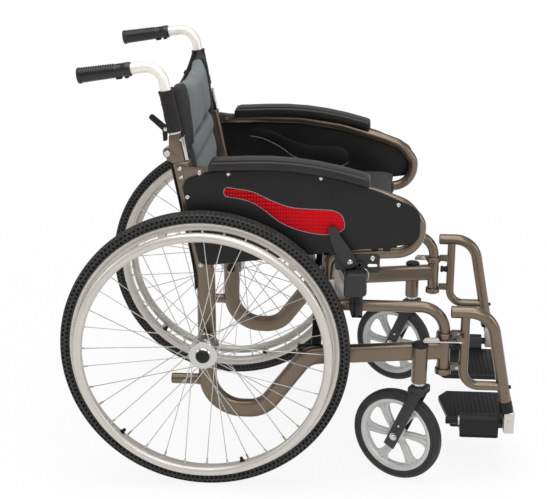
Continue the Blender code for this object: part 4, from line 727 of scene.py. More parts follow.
def holed_slab(outer, inner, low, high, plane=SIDE_PLANE):
    """Plate of an outline with one hole in it."""
    bm = bmesh.new()
    edges = []
    for loop in (outer, inner):
        verts = [bm.verts.new((a, b, low)) for a, b in loop]
        edges += [bm.edges.new(ends) for ends in zip(verts, verts[1:] + verts[:1])]
    faces = bmesh.ops.bridge_loops(bm, edges=edges)["faces"]
    made = bmesh.ops.extrude_face_region(bm, geom=faces)["geom"]
    top = [item for item in made if isinstance(item, bmesh.types.BMVert)]
    bmesh.ops.translate(bm, vec=(0, 0, high - low), verts=top)
    bmesh.ops.recalc_face_normals(bm, faces=bm.faces)
    return shifted(bm, plane)


# Placing

def body_name(body, side):
    return f"{side}_side" if body == "side" else f"{body}_{side}"


def piece(bm, name, finish_name, body, nodes=(), smooth=32.0, levels=0):
    """Make a finished object of a shape in the chair's stations and hang it on its body."""
    mesh = bpy.data.meshes.new(name)
    bm.to_mesh(mesh)
    bm.free()
    mesh.transform(Matrix.Translation((0, CENTRE_SHIFT, 0)))
    mesh.materials.append(finish(finish_name))
    mesh.shade_smooth()
    mesh.set_sharp_from_angle(angle=math.radians(smooth))
    item = bpy.data.objects.new(name, mesh)
    bpy.context.scene.collection.objects.link(item)
    if levels:
        smoother = item.modifiers.new("smooth", "SUBSURF")
        smoother.levels = smoother.render_levels = levels
    if nodes:
        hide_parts(*nodes)
    if body:
        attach(item, body)
    return item


def pair(bm, name, finish_name, body, nodes=(), swivel=False, **options):
    """Place a left-hand shape and its mirror image on the right."""
    other = bm.copy()
    shifted(other, Matrix.Scale(-1, 4, (1, 0, 0)))
    bmesh.ops.reverse_faces(other, faces=other.faces)
    made = []
    for side, sign, shape in (("left", 1, bm), ("right", -1, other)):
        if swivel:
            stem = Matrix.Translation((sign * CASTER_X, STEM_Y, 0))
            shifted(shape, stem @ Matrix.Rotation(-CASTER_SWIVEL, 4, "Z") @ stem.inverted())
        made.append(piece(shape, f"{name}_{side}", finish_name, body_name(body, side),
                          [f"{node}_{side}" for node in nodes], **options))
    return made


class ChairOperator:
    bl_options = {"REGISTER", "UNDO"}


class CHAIR_OT_rear_tyres(ChairOperator, bpy.types.Operator):
    """Solid tyres with two rows of holes in each side and a blocked tread"""
    bl_idname = "chair.rear_tyres"
    bl_label = "Rear tyres"

    def execute(self, context):
        sizes = context.scene.chair_sizes
        steps = sizes.tyre_holes * 2
        half = [(0.0119, 0.2838), (0.0148, 0.2866), (0.0167, 0.2912), (0.0170, 0.2958),
                (0.0158, 0.3002), (0.0125, 0.3031), (0.0062, 0.3046)]
        bm = lathe(mirrored(half, [(0.0, WHEEL_RADIUS)]), steps)
        inner_row, outer_row, tread = (0.2885, 0.2900), (0.2965, 0.2990), 0.3010
        wall = 0.014
        holes, blocks = [], []
        for face in bm.faces:
            middle = face.calc_center_median()
            radius = math.hypot(middle.y, middle.z)
            cell = int((math.atan2(middle.z, middle.y) / (2 * math.pi) + 1) * steps)
            across = abs(middle.x)
            if inner_row[0] < radius < inner_row[1] and across > wall:
                holes += [face] if cell % 2 else []
            elif outer_row[0] < radius < outer_row[1] and across > wall:
                holes += [] if cell % 2 else [face]
            elif radius > tread:
                row = 0 if across > 0.006 else 1
                blocks += [face] if (cell + row) % 2 else []
        bmesh.ops.inset_individual(bm, faces=holes, thickness=0.00040, depth=-sizes.hole_depth,
                                   use_even_offset=True)
        bmesh.ops.inset_individual(bm, faces=blocks, thickness=0.0007, depth=-0.0010,
                                   use_even_offset=True)
        pair(shifted(bm, WHEEL_AT), "tyre", "tyre_rubber", "rear_wheel", ["rear_tyre"],
             smooth=24.0)
        return {"FINISHED"}


class CHAIR_OT_rear_rims(ChairOperator, bpy.types.Operator):
    """Rims, and the push rims on six brackets with their plugs"""
    bl_idname = "chair.rear_rims"
    bl_label = "Rims and push rims"

    def execute(self, context):
        half = [(0.0120, 0.2836), (0.0133, 0.2822), (0.0133, 0.2745), (0.0112, 0.2700),
                (0.0070, 0.2668)]
        rim = lathe(mirrored(half, [(0.0, RIM_INNER_RADIUS)]), 144)
        pair(shifted(rim, WHEEL_AT), "rim", "silver_aluminium", "rear_wheel", ["rear_rim"])
        ring = lathe([(RING_OFFSET + RING_TUBE * math.sin(a), RING_RADIUS + RING_TUBE * math.cos(a))
                      for a in (2 * math.pi * k / 20 for k in range(20))], 144)
        tabs, plugs = [], []
        for k in range(6):
            angle = math.radians(43 + 60 * k)
            bend = [(0.0128, 0.2745), (0.0165, 0.2735), (0.0330, RING_RADIUS + 0.004)]
            tab = swept([(x, 0, r) for x, r in bend], rounded(0.016, 0.003, 0.0012),
                        side=(0, 1, 0))
            tabs.append(spun(tab, angle))
            plug = merged(rod((0, 0, 0.2665), (0, 0, 0.2560), 0.0042, 20, 0.0034, 0.0012),
                          rod((0, 0, 0.2675), (0, 0, 0.2640), 0.0062, 20, bevel=0.0008))
            plugs.append(spun(plug, angle))
        pair(shifted(merged(ring, *tabs), WHEEL_AT), "push_ring", "silver_aluminium",
             "rear_wheel", ["pushrim"])
        pair(shifted(merged(*plugs), WHEEL_AT), "ring_plugs", "black_plastic", "rear_wheel")
        return {"FINISHED"}


class CHAIR_OT_spokes(ChairOperator, bpy.types.Operator):
    """Tangential wire spokes with nipples, the flanged hub and its cap"""
    bl_idname = "chair.spokes"
    bl_label = "Spokes and hubs"

    def execute(self, context):
        sizes = context.scene.chair_sizes
        count = sizes.spokes
        wire = sizes.spoke_diameter
        flange_x, flange_radius, nipple_radius = 0.0235, 0.0258, RIM_INNER_RADIUS - 0.0005
        wires = []
        for k in range(count):
            flange = 1 if k % 2 == 0 else -1
            lead = 1 if (k // 2) % 2 == 0 else -1
            rim_angle = 2 * math.pi * k / count
            hub_angle = rim_angle + lead * SPOKE_LEAD
            hub = Vector((flange * flange_x + lead * wire * 0.62,
                          flange_radius * math.cos(hub_angle),
                          flange_radius * math.sin(hub_angle)))
            rim = Vector((flange * 0.0045 + lead * wire * 0.7,
                          nipple_radius * math.cos(rim_angle),
                          nipple_radius * math.sin(rim_angle)))
            run = (rim - hub).normalized()
            wires.append(rod(hub, rim, wire / 2, 8))
            wires.append(rod(rim - run * 0.011, rim, 0.0021, 8, 0.0024))
            wires.append(rod(hub - Vector((lead * 0.0030, 0, 0)),
                             hub + Vector((lead * 0.0018, 0, 0)), 0.0021, 8))
        flange = [(0.0258, 0.0165), (0.0258, 0.0290), (0.0250, 0.0300), (0.0220, 0.0300),
                  (0.0212, 0.0290), (0.0212, 0.0172), (0.0150, 0.0150)]
        profile = [(-HUB_END, 0.0064), (-HUB_END, 0.0128), (-HUB_END + 0.001, 0.0138),
                   *mirrored(flange), (HUB_END - 0.001, 0.0150), (HUB_END, 0.0140),
                   (HUB_END, 0.0064)]
        hub = lathe(profile, 64)
        pair(shifted(hub, WHEEL_AT), "hub", "chromed_steel", "rear_wheel", ["spoked_hub"])
        pair(shifted(merged(*wires), WHEEL_AT), "spokes", "spoke_steel", "rear_wheel")
        cap_x = WHEEL_X + HUB_END + 0.0003
        cap = lathe([(cap_x, 0), (cap_x, 0.0142), (cap_x + 0.0030, 0.0145), (cap_x + 0.0055, 0.0134),
                     (cap_x + 0.0075, 0.0105), (cap_x + 0.0085, 0.0060), (cap_x + 0.0085, 0)], 48)
        shaft = rod((0.2320, 0, 0), (cap_x, 0, 0), 0.0059, 24)
        nut = hex_head((0.2322, 0, 0), (-1, 0, 0), 0.0190, 0.0078)
        pair(shifted(merged(cap, shaft, nut), Matrix.Translation((0, 0, WHEEL_RADIUS))),
             "axle_cap", "black_plastic", "side", ["rear_axle"])
        return {"FINISHED"}


class CHAIR_OT_side_frames(ChairOperator, bpy.types.Operator):
    """Flat oval side tubes with the axle bosses, tip stubs, caster housings and brace lugs"""
    bl_idname = "chair.side_frames"
    bl_label = "Side frames"

    def execute(self, context):
        rail_front = POST_Y + 0.004
        path = filleted([(back_y(UPRIGHT_TOP_Z), UPRIGHT_TOP_Z), (0, UPRIGHT_BEND_Z, 0.12),
                         (0, LOOP_BOTTOM_Z, 0.075), (LOOP_FRONT_Y, LOOP_BOTTOM_Z, 0.060),
                         (*RAIL_REAR, 0.055), (rail_front, rail_z(rail_front))],
                        step=math.radians(5))
        oval = swept([(FRAME_X, y, z) for y, z in path], rounded(0.025, 0.038, 0.0085))
        softened(oval, 0.0010, 1, 60.0)
        housing = lathe([(HOUSING_BOTTOM_Z, 0.0100), (HOUSING_BOTTOM_Z, 0.0158),
                         (HOUSING_BOTTOM_Z + 0.001, HOUSING_RADIUS), (0.3150, HOUSING_RADIUS),
                         (0.3150, 0.0100)], 40)
        standing(housing, CASTER_X, STEM_Y)
        stub = rod((FRAME_X, 0.004, STUB_Z), (FRAME_X, 0.076, STUB_Z), 0.0115, 32)
        boss = rod((FRAME_X, 0, WHEEL_RADIUS), (0.2650, 0, WHEEL_RADIUS), 0.0165, 40, bevel=0.001)
        seam = circle(0.0117, 24)
        weld = swept([(FRAME_X + a, 0.0195, STUB_Z + b) for a, b in [*seam, seam[0]]],
                     circle(0.0016, 8), side=(0, 1, 0), caps=False)
        half = 0.0243
        lugs = [box((0.2065, BRACE_Y + half, BRACE_PIVOT_Z - 0.040),
                    (0.2365, BRACE_Y + half + 0.005, BRACE_PIVOT_Z + 0.011), 0.0016),
                box((0.2065, BRACE_Y - half - 0.005, BRACE_PIVOT_Z - 0.020),
                    (0.2365, BRACE_Y - half, BRACE_PIVOT_Z + 0.013), 0.0016)]
        pair(merged(oval, housing, stub, boss, weld, *lugs), "side_tube", "bronze_paint",
             "side", ["side_frame"])
        ring = lathe([(0.3150, 0.0100), (0.3150, 0.0167), (0.3195, 0.0172), (0.3195, 0.0100)], 40)
        dome = lathe([(0.3195, 0), (0.3195, 0.0165), (0.3212, 0.0163), (0.3228, 0.0150),
                      (0.3238, 0.0100), (HOUSING_TOP_Z, 0)], 40)
        cap = standing(merged(ring, dome), CASTER_X, STEM_Y)
        plug = rod((FRAME_X, 0.0700, STUB_Z), (FRAME_X, 0.0780, STUB_Z), 0.0108, 32, bevel=0.0012)
        pin = rod((BRACE_PIVOT_X, BRACE_Y - half - 0.0085, BRACE_PIVOT_Z),
                  (BRACE_PIVOT_X, BRACE_Y + half + 0.0085, BRACE_PIVOT_Z), 0.0049, 20, bevel=0.0008)
        pair(merged(cap, plug), "frame_caps", "black_plastic", "side")
        bearing = lathe([(0.2290, 0.0095), (0.2290, 0.0135), (0.2340, 0.0135), (0.2340, 0.0095)], 40)
        standing(bearing, CASTER_X, STEM_Y)
        x = FRAME_X + 0.0125
        bolts = [screw_head((x, 0.009, 0.483), (1, 0, 0), 0.0060, 0.0035),
                 screw_head((FRAME_X - 0.0125, 0.004, 0.295), (-1, 0, 0), 0.0055, 0.003),
                 screw_head((x, 0.050, STUB_Z), (1, 0, 0), 0.0028, 0.001)]
        pair(merged(pin, bearing, *bolts), "frame_bolts", "chromed_steel", "side")
        return {"FINISHED"}


class CHAIR_OT_front_frames(ChairOperator, bpy.types.Operator):
    """Seat rails bent down to the hinge posts, with the bracket of the seat tube"""
    bl_idname = "chair.front_frames"
    bl_label = "Front frames"

    def execute(self, context):
        foot = rail_z(SEAT_RAIL_REAR_Y - SEAT_RAIL_RADIUS) + 0.0193
        path = filleted([(SEAT_RAIL_REAR_Y, foot), (SEAT_RAIL_REAR_Y, SEAT_RAIL_Z, 0.026),
                         (POST_Y, SEAT_RAIL_Z, 0.052), (POST_Y, POST_TOP_Z - 0.005)],
                        step=math.radians(6))
        rail = tube(path, SEAT_RAIL_RADIUS, FRAME_X, 28)
        post = rod((FRAME_X, POST_Y, POST_BOTTOM_Z), (FRAME_X, POST_Y, POST_TOP_Z), POST_RADIUS,
                   32, bevel=0.0010)
        pair(merged(rail, post), "front_tube", "bronze_paint", "side", ["front_frame"])
        top = SEAT_TUBE_Z - 0.004
        outline = filleted([(SEAT_RAIL_REAR_Y, SEAT_RAIL_Z), (SEAT_RAIL_REAR_Y, 0.435, 0.01),
                            (-0.2425, 0.445, 0.006), (-0.2425, top), (-0.2625, top),
                            (-0.2965, 0.430, 0.02), (-0.3045, SEAT_RAIL_Z)], closed=True)
        web = slab(outline, 0.2345, 0.2395, bevel=0.0008)
        tail_y, tail_z = ARM_TAIL
        rest_top = tail_z - 0.0019
        rest = box((0.2370, tail_y - 0.0150, rest_top - 0.030), (0.2665, tail_y + 0.0165, rest_top),
                   0.002)
        wall = box((0.2370, tail_y + 0.0130, rest_top - 0.010),
                   (0.2665, tail_y + 0.0165, rest_top + 0.022), 0.001)
        saddle = box((0.2045, -0.2625, SEAT_TUBE_Z - 0.023), (0.2395, -0.2425, SEAT_TUBE_Z - 0.0115),
                     0.002)
        pair(merged(web, rest, wall, saddle), "seat_bracket", "silver_aluminium", "side")
        return {"FINISHED"}


class CHAIR_OT_caster_wheels(ChairOperator, bpy.types.Operator):
    """Caster wheels with grooved tyres and six curved, ridged spokes"""
    bl_idname = "chair.caster_wheels"
    bl_label = "Caster wheels"

    def execute(self, context):
        half = [(0.0115, 0.0832), (0.0125, 0.0870), (0.0129, 0.0900), (0.0123, 0.0905),
                (0.0123, 0.0912), (0.0130, 0.0918), (0.0130, 0.0945), (0.0123, 0.0978),
                (0.0104, 0.1000), (0.0080, 0.1009), (0.0076, 0.1000), (0.0066, 0.1000),
                (0.0062, 0.1012)]
        tyre = lathe(mirrored(half, [(0.0, 0.1016)]), 120)
        pair(shifted(tyre, CASTER_AT), "front_tyre", "tyre_rubber", "caster_wheel",
             ["caster_tyre"], swivel=True)
        rim = lathe(mirrored([(0.0113, 0.0831), (0.0121, 0.0815), (0.0116, 0.0775),
                              (0.0098, 0.0748), (0.0050, 0.0715)]), 96)
        hub = lathe([(-0.0150, 0.0043), (-0.0150, 0.0112), (-0.0140, 0.0126), (-0.0075, 0.0165),
                     (-0.0048, 0.0215), (0.0048, 0.0215), (0.0075, 0.0165), (0.0140, 0.0126),
                     (0.0150, 0.0112), (0.0150, 0.0043)], 48)
        blade = filleted(polar([(0.0140, -32), (0.0245, -23, 0.02), (0.0415, -15.6, 0.03),
                                (0.0650, -9, 0.010), (0.0745, -16), (0.0745, 17),
                                (0.0660, 10, 0.010), (0.0500, 7.8, 0.03), (0.0245, 12, 0.02),
                                (0.0140, 22)]), closed=True)
        ridge = filleted(polar([(0.0170, -14), (0.0450, -6.4, 0.04), (0.0735, -2.6),
                                (0.0735, 3.0), (0.0450, -1.0, 0.04), (0.0170, -1)]), closed=True)
        spokes = []
        for k in range(6):
            turn = math.pi / 3 * k
            spokes.append(spun(slab(blade, -0.0045, 0.0045, bevel=0.0016), turn))
            spokes.append(spun(slab(ridge, -0.0078, 0.0078, bevel=0.0018), turn))
        pair(shifted(merged(rim, hub, *spokes), CASTER_AT), "front_wheel", "grey_casting",
             "caster_wheel", ["caster_wheel"], swivel=True)
        return {"FINISHED"}


class CHAIR_OT_caster_forks(ChairOperator, bpy.types.Operator):
    """Flat-legged caster forks on their stems, and the axle bolts"""
    bl_idname = "chair.caster_forks"
    bl_label = "Caster forks"

    def execute(self, context):
        rise = 0.208 - CASTER_RADIUS
        slant = math.atan2(CASTER_TRAIL, rise)
        length = math.hypot(CASTER_TRAIL, rise)
        tip = [(0.0, 0), (0.0, 0.0026), (0.0007, 0.0022), (0.0008, 0)]
        legs, bolts = [], []
        for side in (-1, 1):
            lie = CASTER_AT @ Matrix.Translation((side * 0.01785, 0, 0)) @ Matrix.Rotation(
                slant, 4, "X")
            legs.append(shifted(box((-0.00225, -0.013, -0.028), (0.00225, 0.013, length + 0.010),
                                    0.0012), lie))
            head = merged(lathe([(0.0, 0), (0.0, 0.0085), (0.0010, 0.0085), (0.0012, 0)], 32),
                          hex_head((0.0008, 0, 0), (1, 0, 0), 0.0118, 0.0036),
                          lathe(tip, 20))
            stud = shifted(lathe(tip, 20), Matrix.Translation((0, 0, 0.030)))
            face = lie @ Matrix.Translation((side * 0.00225, 0, 0))
            if side < 0:
                face = face @ Matrix.Rotation(math.pi, 4, "Z")
            bolts += [shifted(head, face), shifted(stud, face)]
        crown = box((CASTER_X - 0.0201, STEM_Y - 0.0190, 0.208),
                    (CASTER_X + 0.0201, STEM_Y + 0.0170, 0.226), 0.0035, 3)
        collar = lathe([(0.2255, 0), (0.2255, 0.0150), (0.2270, 0.0150), (0.2290, 0.0122),
                        (0.2290, 0.0088), (0.2880, 0.0088), (0.2880, 0)], 40)
        standing(collar, CASTER_X, STEM_Y)
        pair(merged(crown, collar, *legs), "fork", "black_painted_steel", "caster_fork",
             ["caster_fork"], swivel=True)
        bolts.append(shifted(rod((-0.0215, 0, 0), (0.0215, 0, 0), 0.0040, 20), CASTER_AT))
        pair(merged(*bolts), "fork_bolts", "chromed_steel", "caster_fork", ["caster_axle"],
             swivel=True)
        return {"FINISHED"}


class CHAIR_OT_brace(ChairOperator, bpy.types.Operator):
    """Crossed arms that carry the seat tubes, with their sleeves and centre bolt"""
    bl_idname = "chair.brace"
    bl_label = "Cross brace"

    def execute(self, context):
        middle_z = (BRACE_PIVOT_Z + SEAT_TUBE_Z) / 2
        for name, side in (("brace_front", 1), ("brace_rear", -1)):
            y = BRACE_Y - side * 0.0108
            low = Vector((-side * BRACE_PIVOT_X, y, BRACE_PIVOT_Z))
            high = Vector((side * BRACE_PIVOT_X, y, SEAT_TUBE_Z))
            run = (high - low).normalized()
            arm = swept([low + run * 0.004, high - run * 0.008], rounded(0.021, 0.028, 0.0045),
                        side=(0, 1, 0))
            sleeve = rod((low.x, BRACE_Y - 0.024, low.z), (low.x, BRACE_Y + 0.024, low.z), 0.0115,
                         36, bevel=0.0008)
            tube_bm = rod((high.x, SEAT_TUBE_FRONT_Y + 0.006, high.z),
                          (high.x, SEAT_TUBE_REAR_Y - 0.006, high.z), SEAT_TUBE_RADIUS, 36)
            piece(merged(arm, sleeve, tube_bm), name + "_bar", "black_painted_steel", name,
                  [name + "_arm"])
            caps = [rod((high.x, a, high.z), (high.x, b, high.z), SEAT_TUBE_RADIUS - 0.0004, 36,
                        bevel=0.0020) for a, b in ((SEAT_TUBE_FRONT_Y, SEAT_TUBE_FRONT_Y + 0.009),
                                                   (SEAT_TUBE_REAR_Y - 0.009, SEAT_TUBE_REAR_Y))]
            piece(merged(*caps), name + "_caps", "black_plastic", name)
        bolt = merged(hex_head((0, BRACE_Y - 0.0216, middle_z), (0, -1, 0), 0.0130, 0.0055),
                      hex_head((0, BRACE_Y + 0.0216, middle_z), (0, 1, 0), 0.0130, 0.0055),
                      rod((0, BRACE_Y - 0.0226, middle_z), (0, BRACE_Y + 0.0226, middle_z), 0.0086,
                          32, bevel=0.0004))
        piece(bolt, "centre_bolt", "chromed_steel", "brace_front", ["brace_bolt"])
        return {"FINISHED"}


# Soft goods

def cushion(low, high, crown, pinch, grid=(12, 10)):
    """Closed pad with a crowned top on +Z and sides drawn in between the corners."""
    low, high = Vector(low), Vector(high)
    size = high - low
    bm = bmesh.new()
    bmesh.ops.create_cube(bm, size=1.0)
    bmesh.ops.translate(bm, vec=(0.5, 0.5, 0.5), verts=bm.verts)
    for axis, cuts in ((0, grid[0]), (1, grid[1]), (2, 3)):
        for k in range(1, cuts):
            normal = Vector((0, 0, 0))
            normal[axis] = 1
            bmesh.ops.bisect_plane(bm, geom=[*bm.verts, *bm.edges, *bm.faces], dist=0.000001,
                                   plane_co=normal * k / cuts, plane_no=normal)
    for vert in bm.verts:
        u, v, w = vert.co
        dome = (1 - (2 * u - 1) ** 4) * (1 - (2 * v - 1) ** 4)
        x = low.x + u * size.x
        y = low.y + v * size.y
        if u in (0.0, 1.0):
            x += pinch * (1 - (2 * v - 1) ** 2) * (1 if u == 0 else -1)
        if v in (0.0, 1.0):
            y += pinch * (1 - (2 * u - 1) ** 2) * (1 if v == 0 else -1)
        vert.co = (x, y, low.z + w * (size.z - crown * (1 - dome)))
    return bm


def inflated(bm, voxel=0.0055, pressure=4.0, cap=0.010):
    """Blow a closed form up as cloth; no point moves further than cap."""
    scene = bpy.context.scene
    mesh = bpy.data.meshes.new("cover")
    bm.to_mesh(mesh)
    bm.free()
    item = bpy.data.objects.new("cover", mesh)
    scene.collection.objects.link(item)
    voxels = item.modifiers.new("voxels", "REMESH")
    voxels.mode = "VOXEL"
    voxels.voxel_size = voxel
    start = bpy.data.meshes.new_from_object(item.evaluated_get(
        bpy.context.evaluated_depsgraph_get()))
    item.modifiers.clear()
    item.data = start
    cloth = item.modifiers.new("cloth", "CLOTH")
    cloth.settings.use_pressure = True
    cloth.settings.uniform_pressure_force = pressure
    cloth.settings.effector_weights.gravity = 0
    cloth.settings.tension_stiffness = 25
    cloth.settings.compression_stiffness = 25
    cloth.settings.bending_stiffness = 1.5
    cloth.point_cache.frame_end = 20
    for step in range(1, 21):
        scene.frame_set(step)
    graph = bpy.context.evaluated_depsgraph_get()
    blown = bpy.data.meshes.new_from_object(item.evaluated_get(graph))
    scene.frame_set(1)
    for before, after in zip(start.vertices, blown.vertices):
        move = after.co - before.co
        if move.length > cap:
            after.co = before.co + move.normalized() * cap
    made = bmesh.new()
    made.from_mesh(blown)
    bpy.data.objects.remove(item, do_unlink=True)
    bmesh.ops.smooth_vert(made, verts=made.verts, factor=0.5, use_axis_x=True, use_axis_y=True,
                          use_axis_z=True)
    return made


def leaning(bottom_z):
    """Place a pad made flat, front on +Z and top on +Y, on the leaning back."""
    foot = Matrix.Translation((0, back_y(bottom_z) + 0.004, bottom_z))
    return foot @ Matrix.Rotation(-BACK_LEAN, 4, "X") @ FRONT_PLANE


def hung_sheet(line, half, strips):
    """Thin sheet along (y, z) points across the chair, cut into strips across its width."""
    outline = [*line, *((y + SHEET_THICKNESS, z) for y, z in line[::-1])]
    bm = slab(outline, -half, half)
    for k in range(1, strips):
        bmesh.ops.bisect_plane(bm, geom=[*bm.verts, *bm.edges, *bm.faces], dist=0.000001,
                               plane_co=(-half + 2 * half * k / strips, 0, 0),
                               plane_no=(1, 0, 0))
    return bm


def folding(item):
    """Give a fabric piece between the two side frames a mesh of its own."""
    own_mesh(item)
    return item


class CHAIR_OT_seat(ChairOperator, bpy.types.Operator):
    """Seat sling between its two tubes and the padded cushion on it"""
    bl_idname = "chair.seat"
    bl_label = "Seat"

    def execute(self, context):
        front, rear = SEAT_TUBE_FRONT_Y + 0.004, SEAT_TUBE_REAR_Y - 0.004
        sling = box((-SEAT_HALF_WIDTH, front, SLING_Z - 0.0012),
                    (SEAT_HALF_WIDTH, rear, SLING_Z + 0.0012), 0.0008)
        for k in range(1, 24):
            bmesh.ops.bisect_plane(sling, geom=[*sling.verts, *sling.edges, *sling.faces],
                                   plane_co=(-SEAT_HALF_WIDTH + k * SEAT_HALF_WIDTH / 12, 0, 0),
                                   plane_no=(1, 0, 0), dist=0.000001)
        sling = piece(sling, "sling", "black_nylon", None, ["seat_sling"])
        sleeves = []
        for side, body in ((1, "brace_front"), (-1, "brace_rear")):
            hem = rod((side * BRACE_PIVOT_X, front, SEAT_TUBE_Z), (side * BRACE_PIVOT_X, rear,
                      SEAT_TUBE_Z), SEAT_TUBE_RADIUS + 0.0012, 32, bevel=0.0006)
            sleeves.append(piece(hem, f"sling_hem_{body}", "black_nylon", body))
        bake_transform(sling)
        pad = cushion((-SEAT_HALF_WIDTH + 0.006, CUSHION_FRONT_Y + 0.006, CUSHION_Z + 0.0015),
                      (SEAT_HALF_WIDTH - 0.006, CUSHION_REAR_Y - 0.006,
                       CUSHION_Z + CUSHION_THICKNESS - 0.004), 0.004, 0.005, (16, 14))
        pad = inflated(pad, 0.006, 3.0, 0.007)
        for vert in pad.verts:
            vert.co.z = max(vert.co.z, CUSHION_Z)
        pad = piece(pad, "seat_pad", "seat_fabric", None, ["seat_cushion"], smooth=60, levels=1)
        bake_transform(pad)
        return {"FINISHED"}


class CHAIR_OT_back(ChairOperator, bpy.types.Operator):
    """Mesh-covered back pads between black wings that slip over the canes"""
    bl_idname = "chair.back"
    bl_label = "Back"

    def execute(self, context):
        bottom, base = BACK_BOTTOM_Z, BACK_SPLIT_Z
        wing_spans = ((-WING_OUTER_X, -WING_INNER_X), (WING_INNER_X, WING_OUTER_X))
        lean = math.cos(BACK_LEAN)
        rows = [cushion((-BACK_HALF_WIDTH, (low - bottom) / lean, 0.003),
                        (BACK_HALF_WIDTH, (high - bottom) / lean, deep), 0.008, 0.001, (14, 6))
                for low, high, deep in LUMBAR_ROWS]
        rows = piece(shifted(inflated(merged(*rows), 0.0050, 3.0, 0.006), leaning(bottom)),
                     "lumbar_pads", "back_fabric", "right_side", smooth=60, levels=1)
        folding(rows)
        length = (base - 0.004 - bottom) / lean

        def wedged(bm, foot):
            """Thin a pad toward its foot and toward the side frames."""
            for vert in bm.verts:
                height = min(max(vert.co.y / length, 0.0), 1.0)
                outward = max(0.0, (abs(vert.co.x) - BACK_HALF_WIDTH) / 0.0735)
                vert.co.z *= (1 - foot * (1 - height)) * (1 - 0.5 * outward)
            return bm

        sides = [wedged(cushion((low, 0, 0.003), (high, length, 0.020), 0.007, 0.003, (8, 14)), 0.3)
                 for low, high in wing_spans]
        sides = piece(shifted(inflated(merged(*sides), 0.0050, 2.5, 0.005), leaning(bottom)),
                      "lower_wings", "black_nylon", "right_side", ["back_lower"], smooth=60,
                      levels=1)
        folding(sides)

        line = [(back_y(z) + 0.0045, z) for z in (bottom + 0.010, base + 0.006)]
        lining = piece(hung_sheet(line, WING_OUTER_X, 18), "back_lining", "black_nylon", "right_side",
                       smooth=50)
        folding(lining)

        length = (BACK_TOP_Z - base) / lean

        def scooped(bm):
            for vert in bm.verts:
                share = max(0.0, vert.co.y / length) ** 2
                vert.co.y -= 0.016 * share * (1 - (vert.co.x / 0.235) ** 2)
            return bm

        centre = scooped(cushion((-BACK_HALF_WIDTH, -0.008, 0.004),
                                 (BACK_HALF_WIDTH, length - 0.003, 0.035), 0.010, 0.002,
                                 (18, 10)))
        centre = wedged(centre, 0.22)
        for vert in centre.verts:
            if vert.co.z > 0.02:
                vert.co.z -= 0.0035 * math.exp(-(vert.co.x / 0.008) ** 2)
        centre = piece(shifted(inflated(centre, 0.0050, 2.5, 0.005), leaning(base)), "back_pad",
                       "back_fabric", "back_cane_right", smooth=60, levels=1)
        folding(centre)
        wings = [wedged(scooped(cushion((low, -0.020, 0.004), (high, length - 0.001, 0.039), 0.010,
                                        0.003, (8, 12))), 0.3) for low, high in wing_spans]
        wings = piece(shifted(inflated(merged(*wings), 0.0050, 2.5, 0.005), leaning(base)),
                      "back_wings", "black_nylon", "back_cane_right", ["back_upper"], smooth=60,
                      levels=1)
        folding(wings)

        low_z, high_z = CANE_BOTTOM_Z + 0.004, BACK_TOP_Z - 0.004
        foot = Vector((FRAME_X, back_y(low_z), low_z))
        head = Vector((FRAME_X, back_y(high_z), high_z))
        reach = (head - foot).length
        rings = [(0.0, CANE_RADIUS + 0.0003), (0.0, 0.0144), (0.0010, 0.0152)]
        count = 16
        for k in range(1, count):
            rings.append((reach * k / count, 0.0146 + 0.0005 * (k % 2)))
        rings += [(reach - 0.0010, 0.0156), (reach, 0.0148), (reach, CANE_RADIUS + 0.0003)]
        sleeve = lathe(rings, 40)
        for vert in sleeve.verts:
            round_way = math.atan2(vert.co.y, vert.co.z)
            if math.hypot(vert.co.y, vert.co.z) > 0.013:
                swell = 1 + 0.045 * math.sin(round_way * 3 + vert.co.x * 95) * math.sin(
                    vert.co.x * 160 + round_way)
                vert.co.y *= swell
                vert.co.z *= swell
        sleeve = aimed(sleeve, foot, head)
        lean = Matrix.Translation(foot) @ Matrix.Rotation(-BACK_LEAN, 4, "X")
        flap = shifted(box((-0.0400, 0.0090, 0.002), (-0.0060, 0.0108, reach - 0.004), 0.0006),
                       lean)
        seam = shifted(box((-0.0150, -0.0152, 0.001), (-0.0135, -0.0120, reach - 0.003), 0.0006),
                       lean)
        pair(merged(sleeve, flap, seam), "cane_sleeve", "black_nylon", "back_cane")

        rear = 0.0190 / math.cos(BACK_LEAN) + 0.0003
        line = smoothed([(back_y(z) + rear + extra, z) for z, extra in
                         ((0.425, 0.0008), (UPRIGHT_BEND_Z + 0.02, 0.0018), (0.60, 0.0008),
                          (0.698, 0.0006))], 8)
        sheet = piece(hung_sheet(line, LOWER_SHEET_X, 20), "back_sheet", "black_nylon", "right_side",
                      smooth=50)
        folding(sheet)
        behind = 0.0085 / math.cos(BACK_LEAN)
        low_z = BACK_SPLIT_Z + 0.002
        line = [(back_y(z) + behind, z) for z in (low_z, high_z)]
        sheet = hung_sheet(line, UPPER_SHEET_X, 18)
        dip = 0.034
        for vert in sheet.verts:
            if vert.co.z > (low_z + high_z) / 2:
                vert.co.z -= dip * (1 - (vert.co.x / UPPER_SHEET_X) ** 2)
        sheet = piece(sheet, "upper_sheet", "black_nylon", "back_cane_right", smooth=50)
        folding(sheet)
        return {"FINISHED"}


# Armrests

def arm_line():
    return filleted([(-0.016, 0.6790), (-0.2236, 0.6894, 0.75), (-0.4110, 0.6219, 0.055),
                     (-0.4415, 0.5850, 0.030), (-0.4410, 0.5215, 0.050),
                     (-0.3300, 0.5150, 0.20), (-0.2600, 0.5100, 0.022), ARM_TAIL],
                    step=math.radians(7))


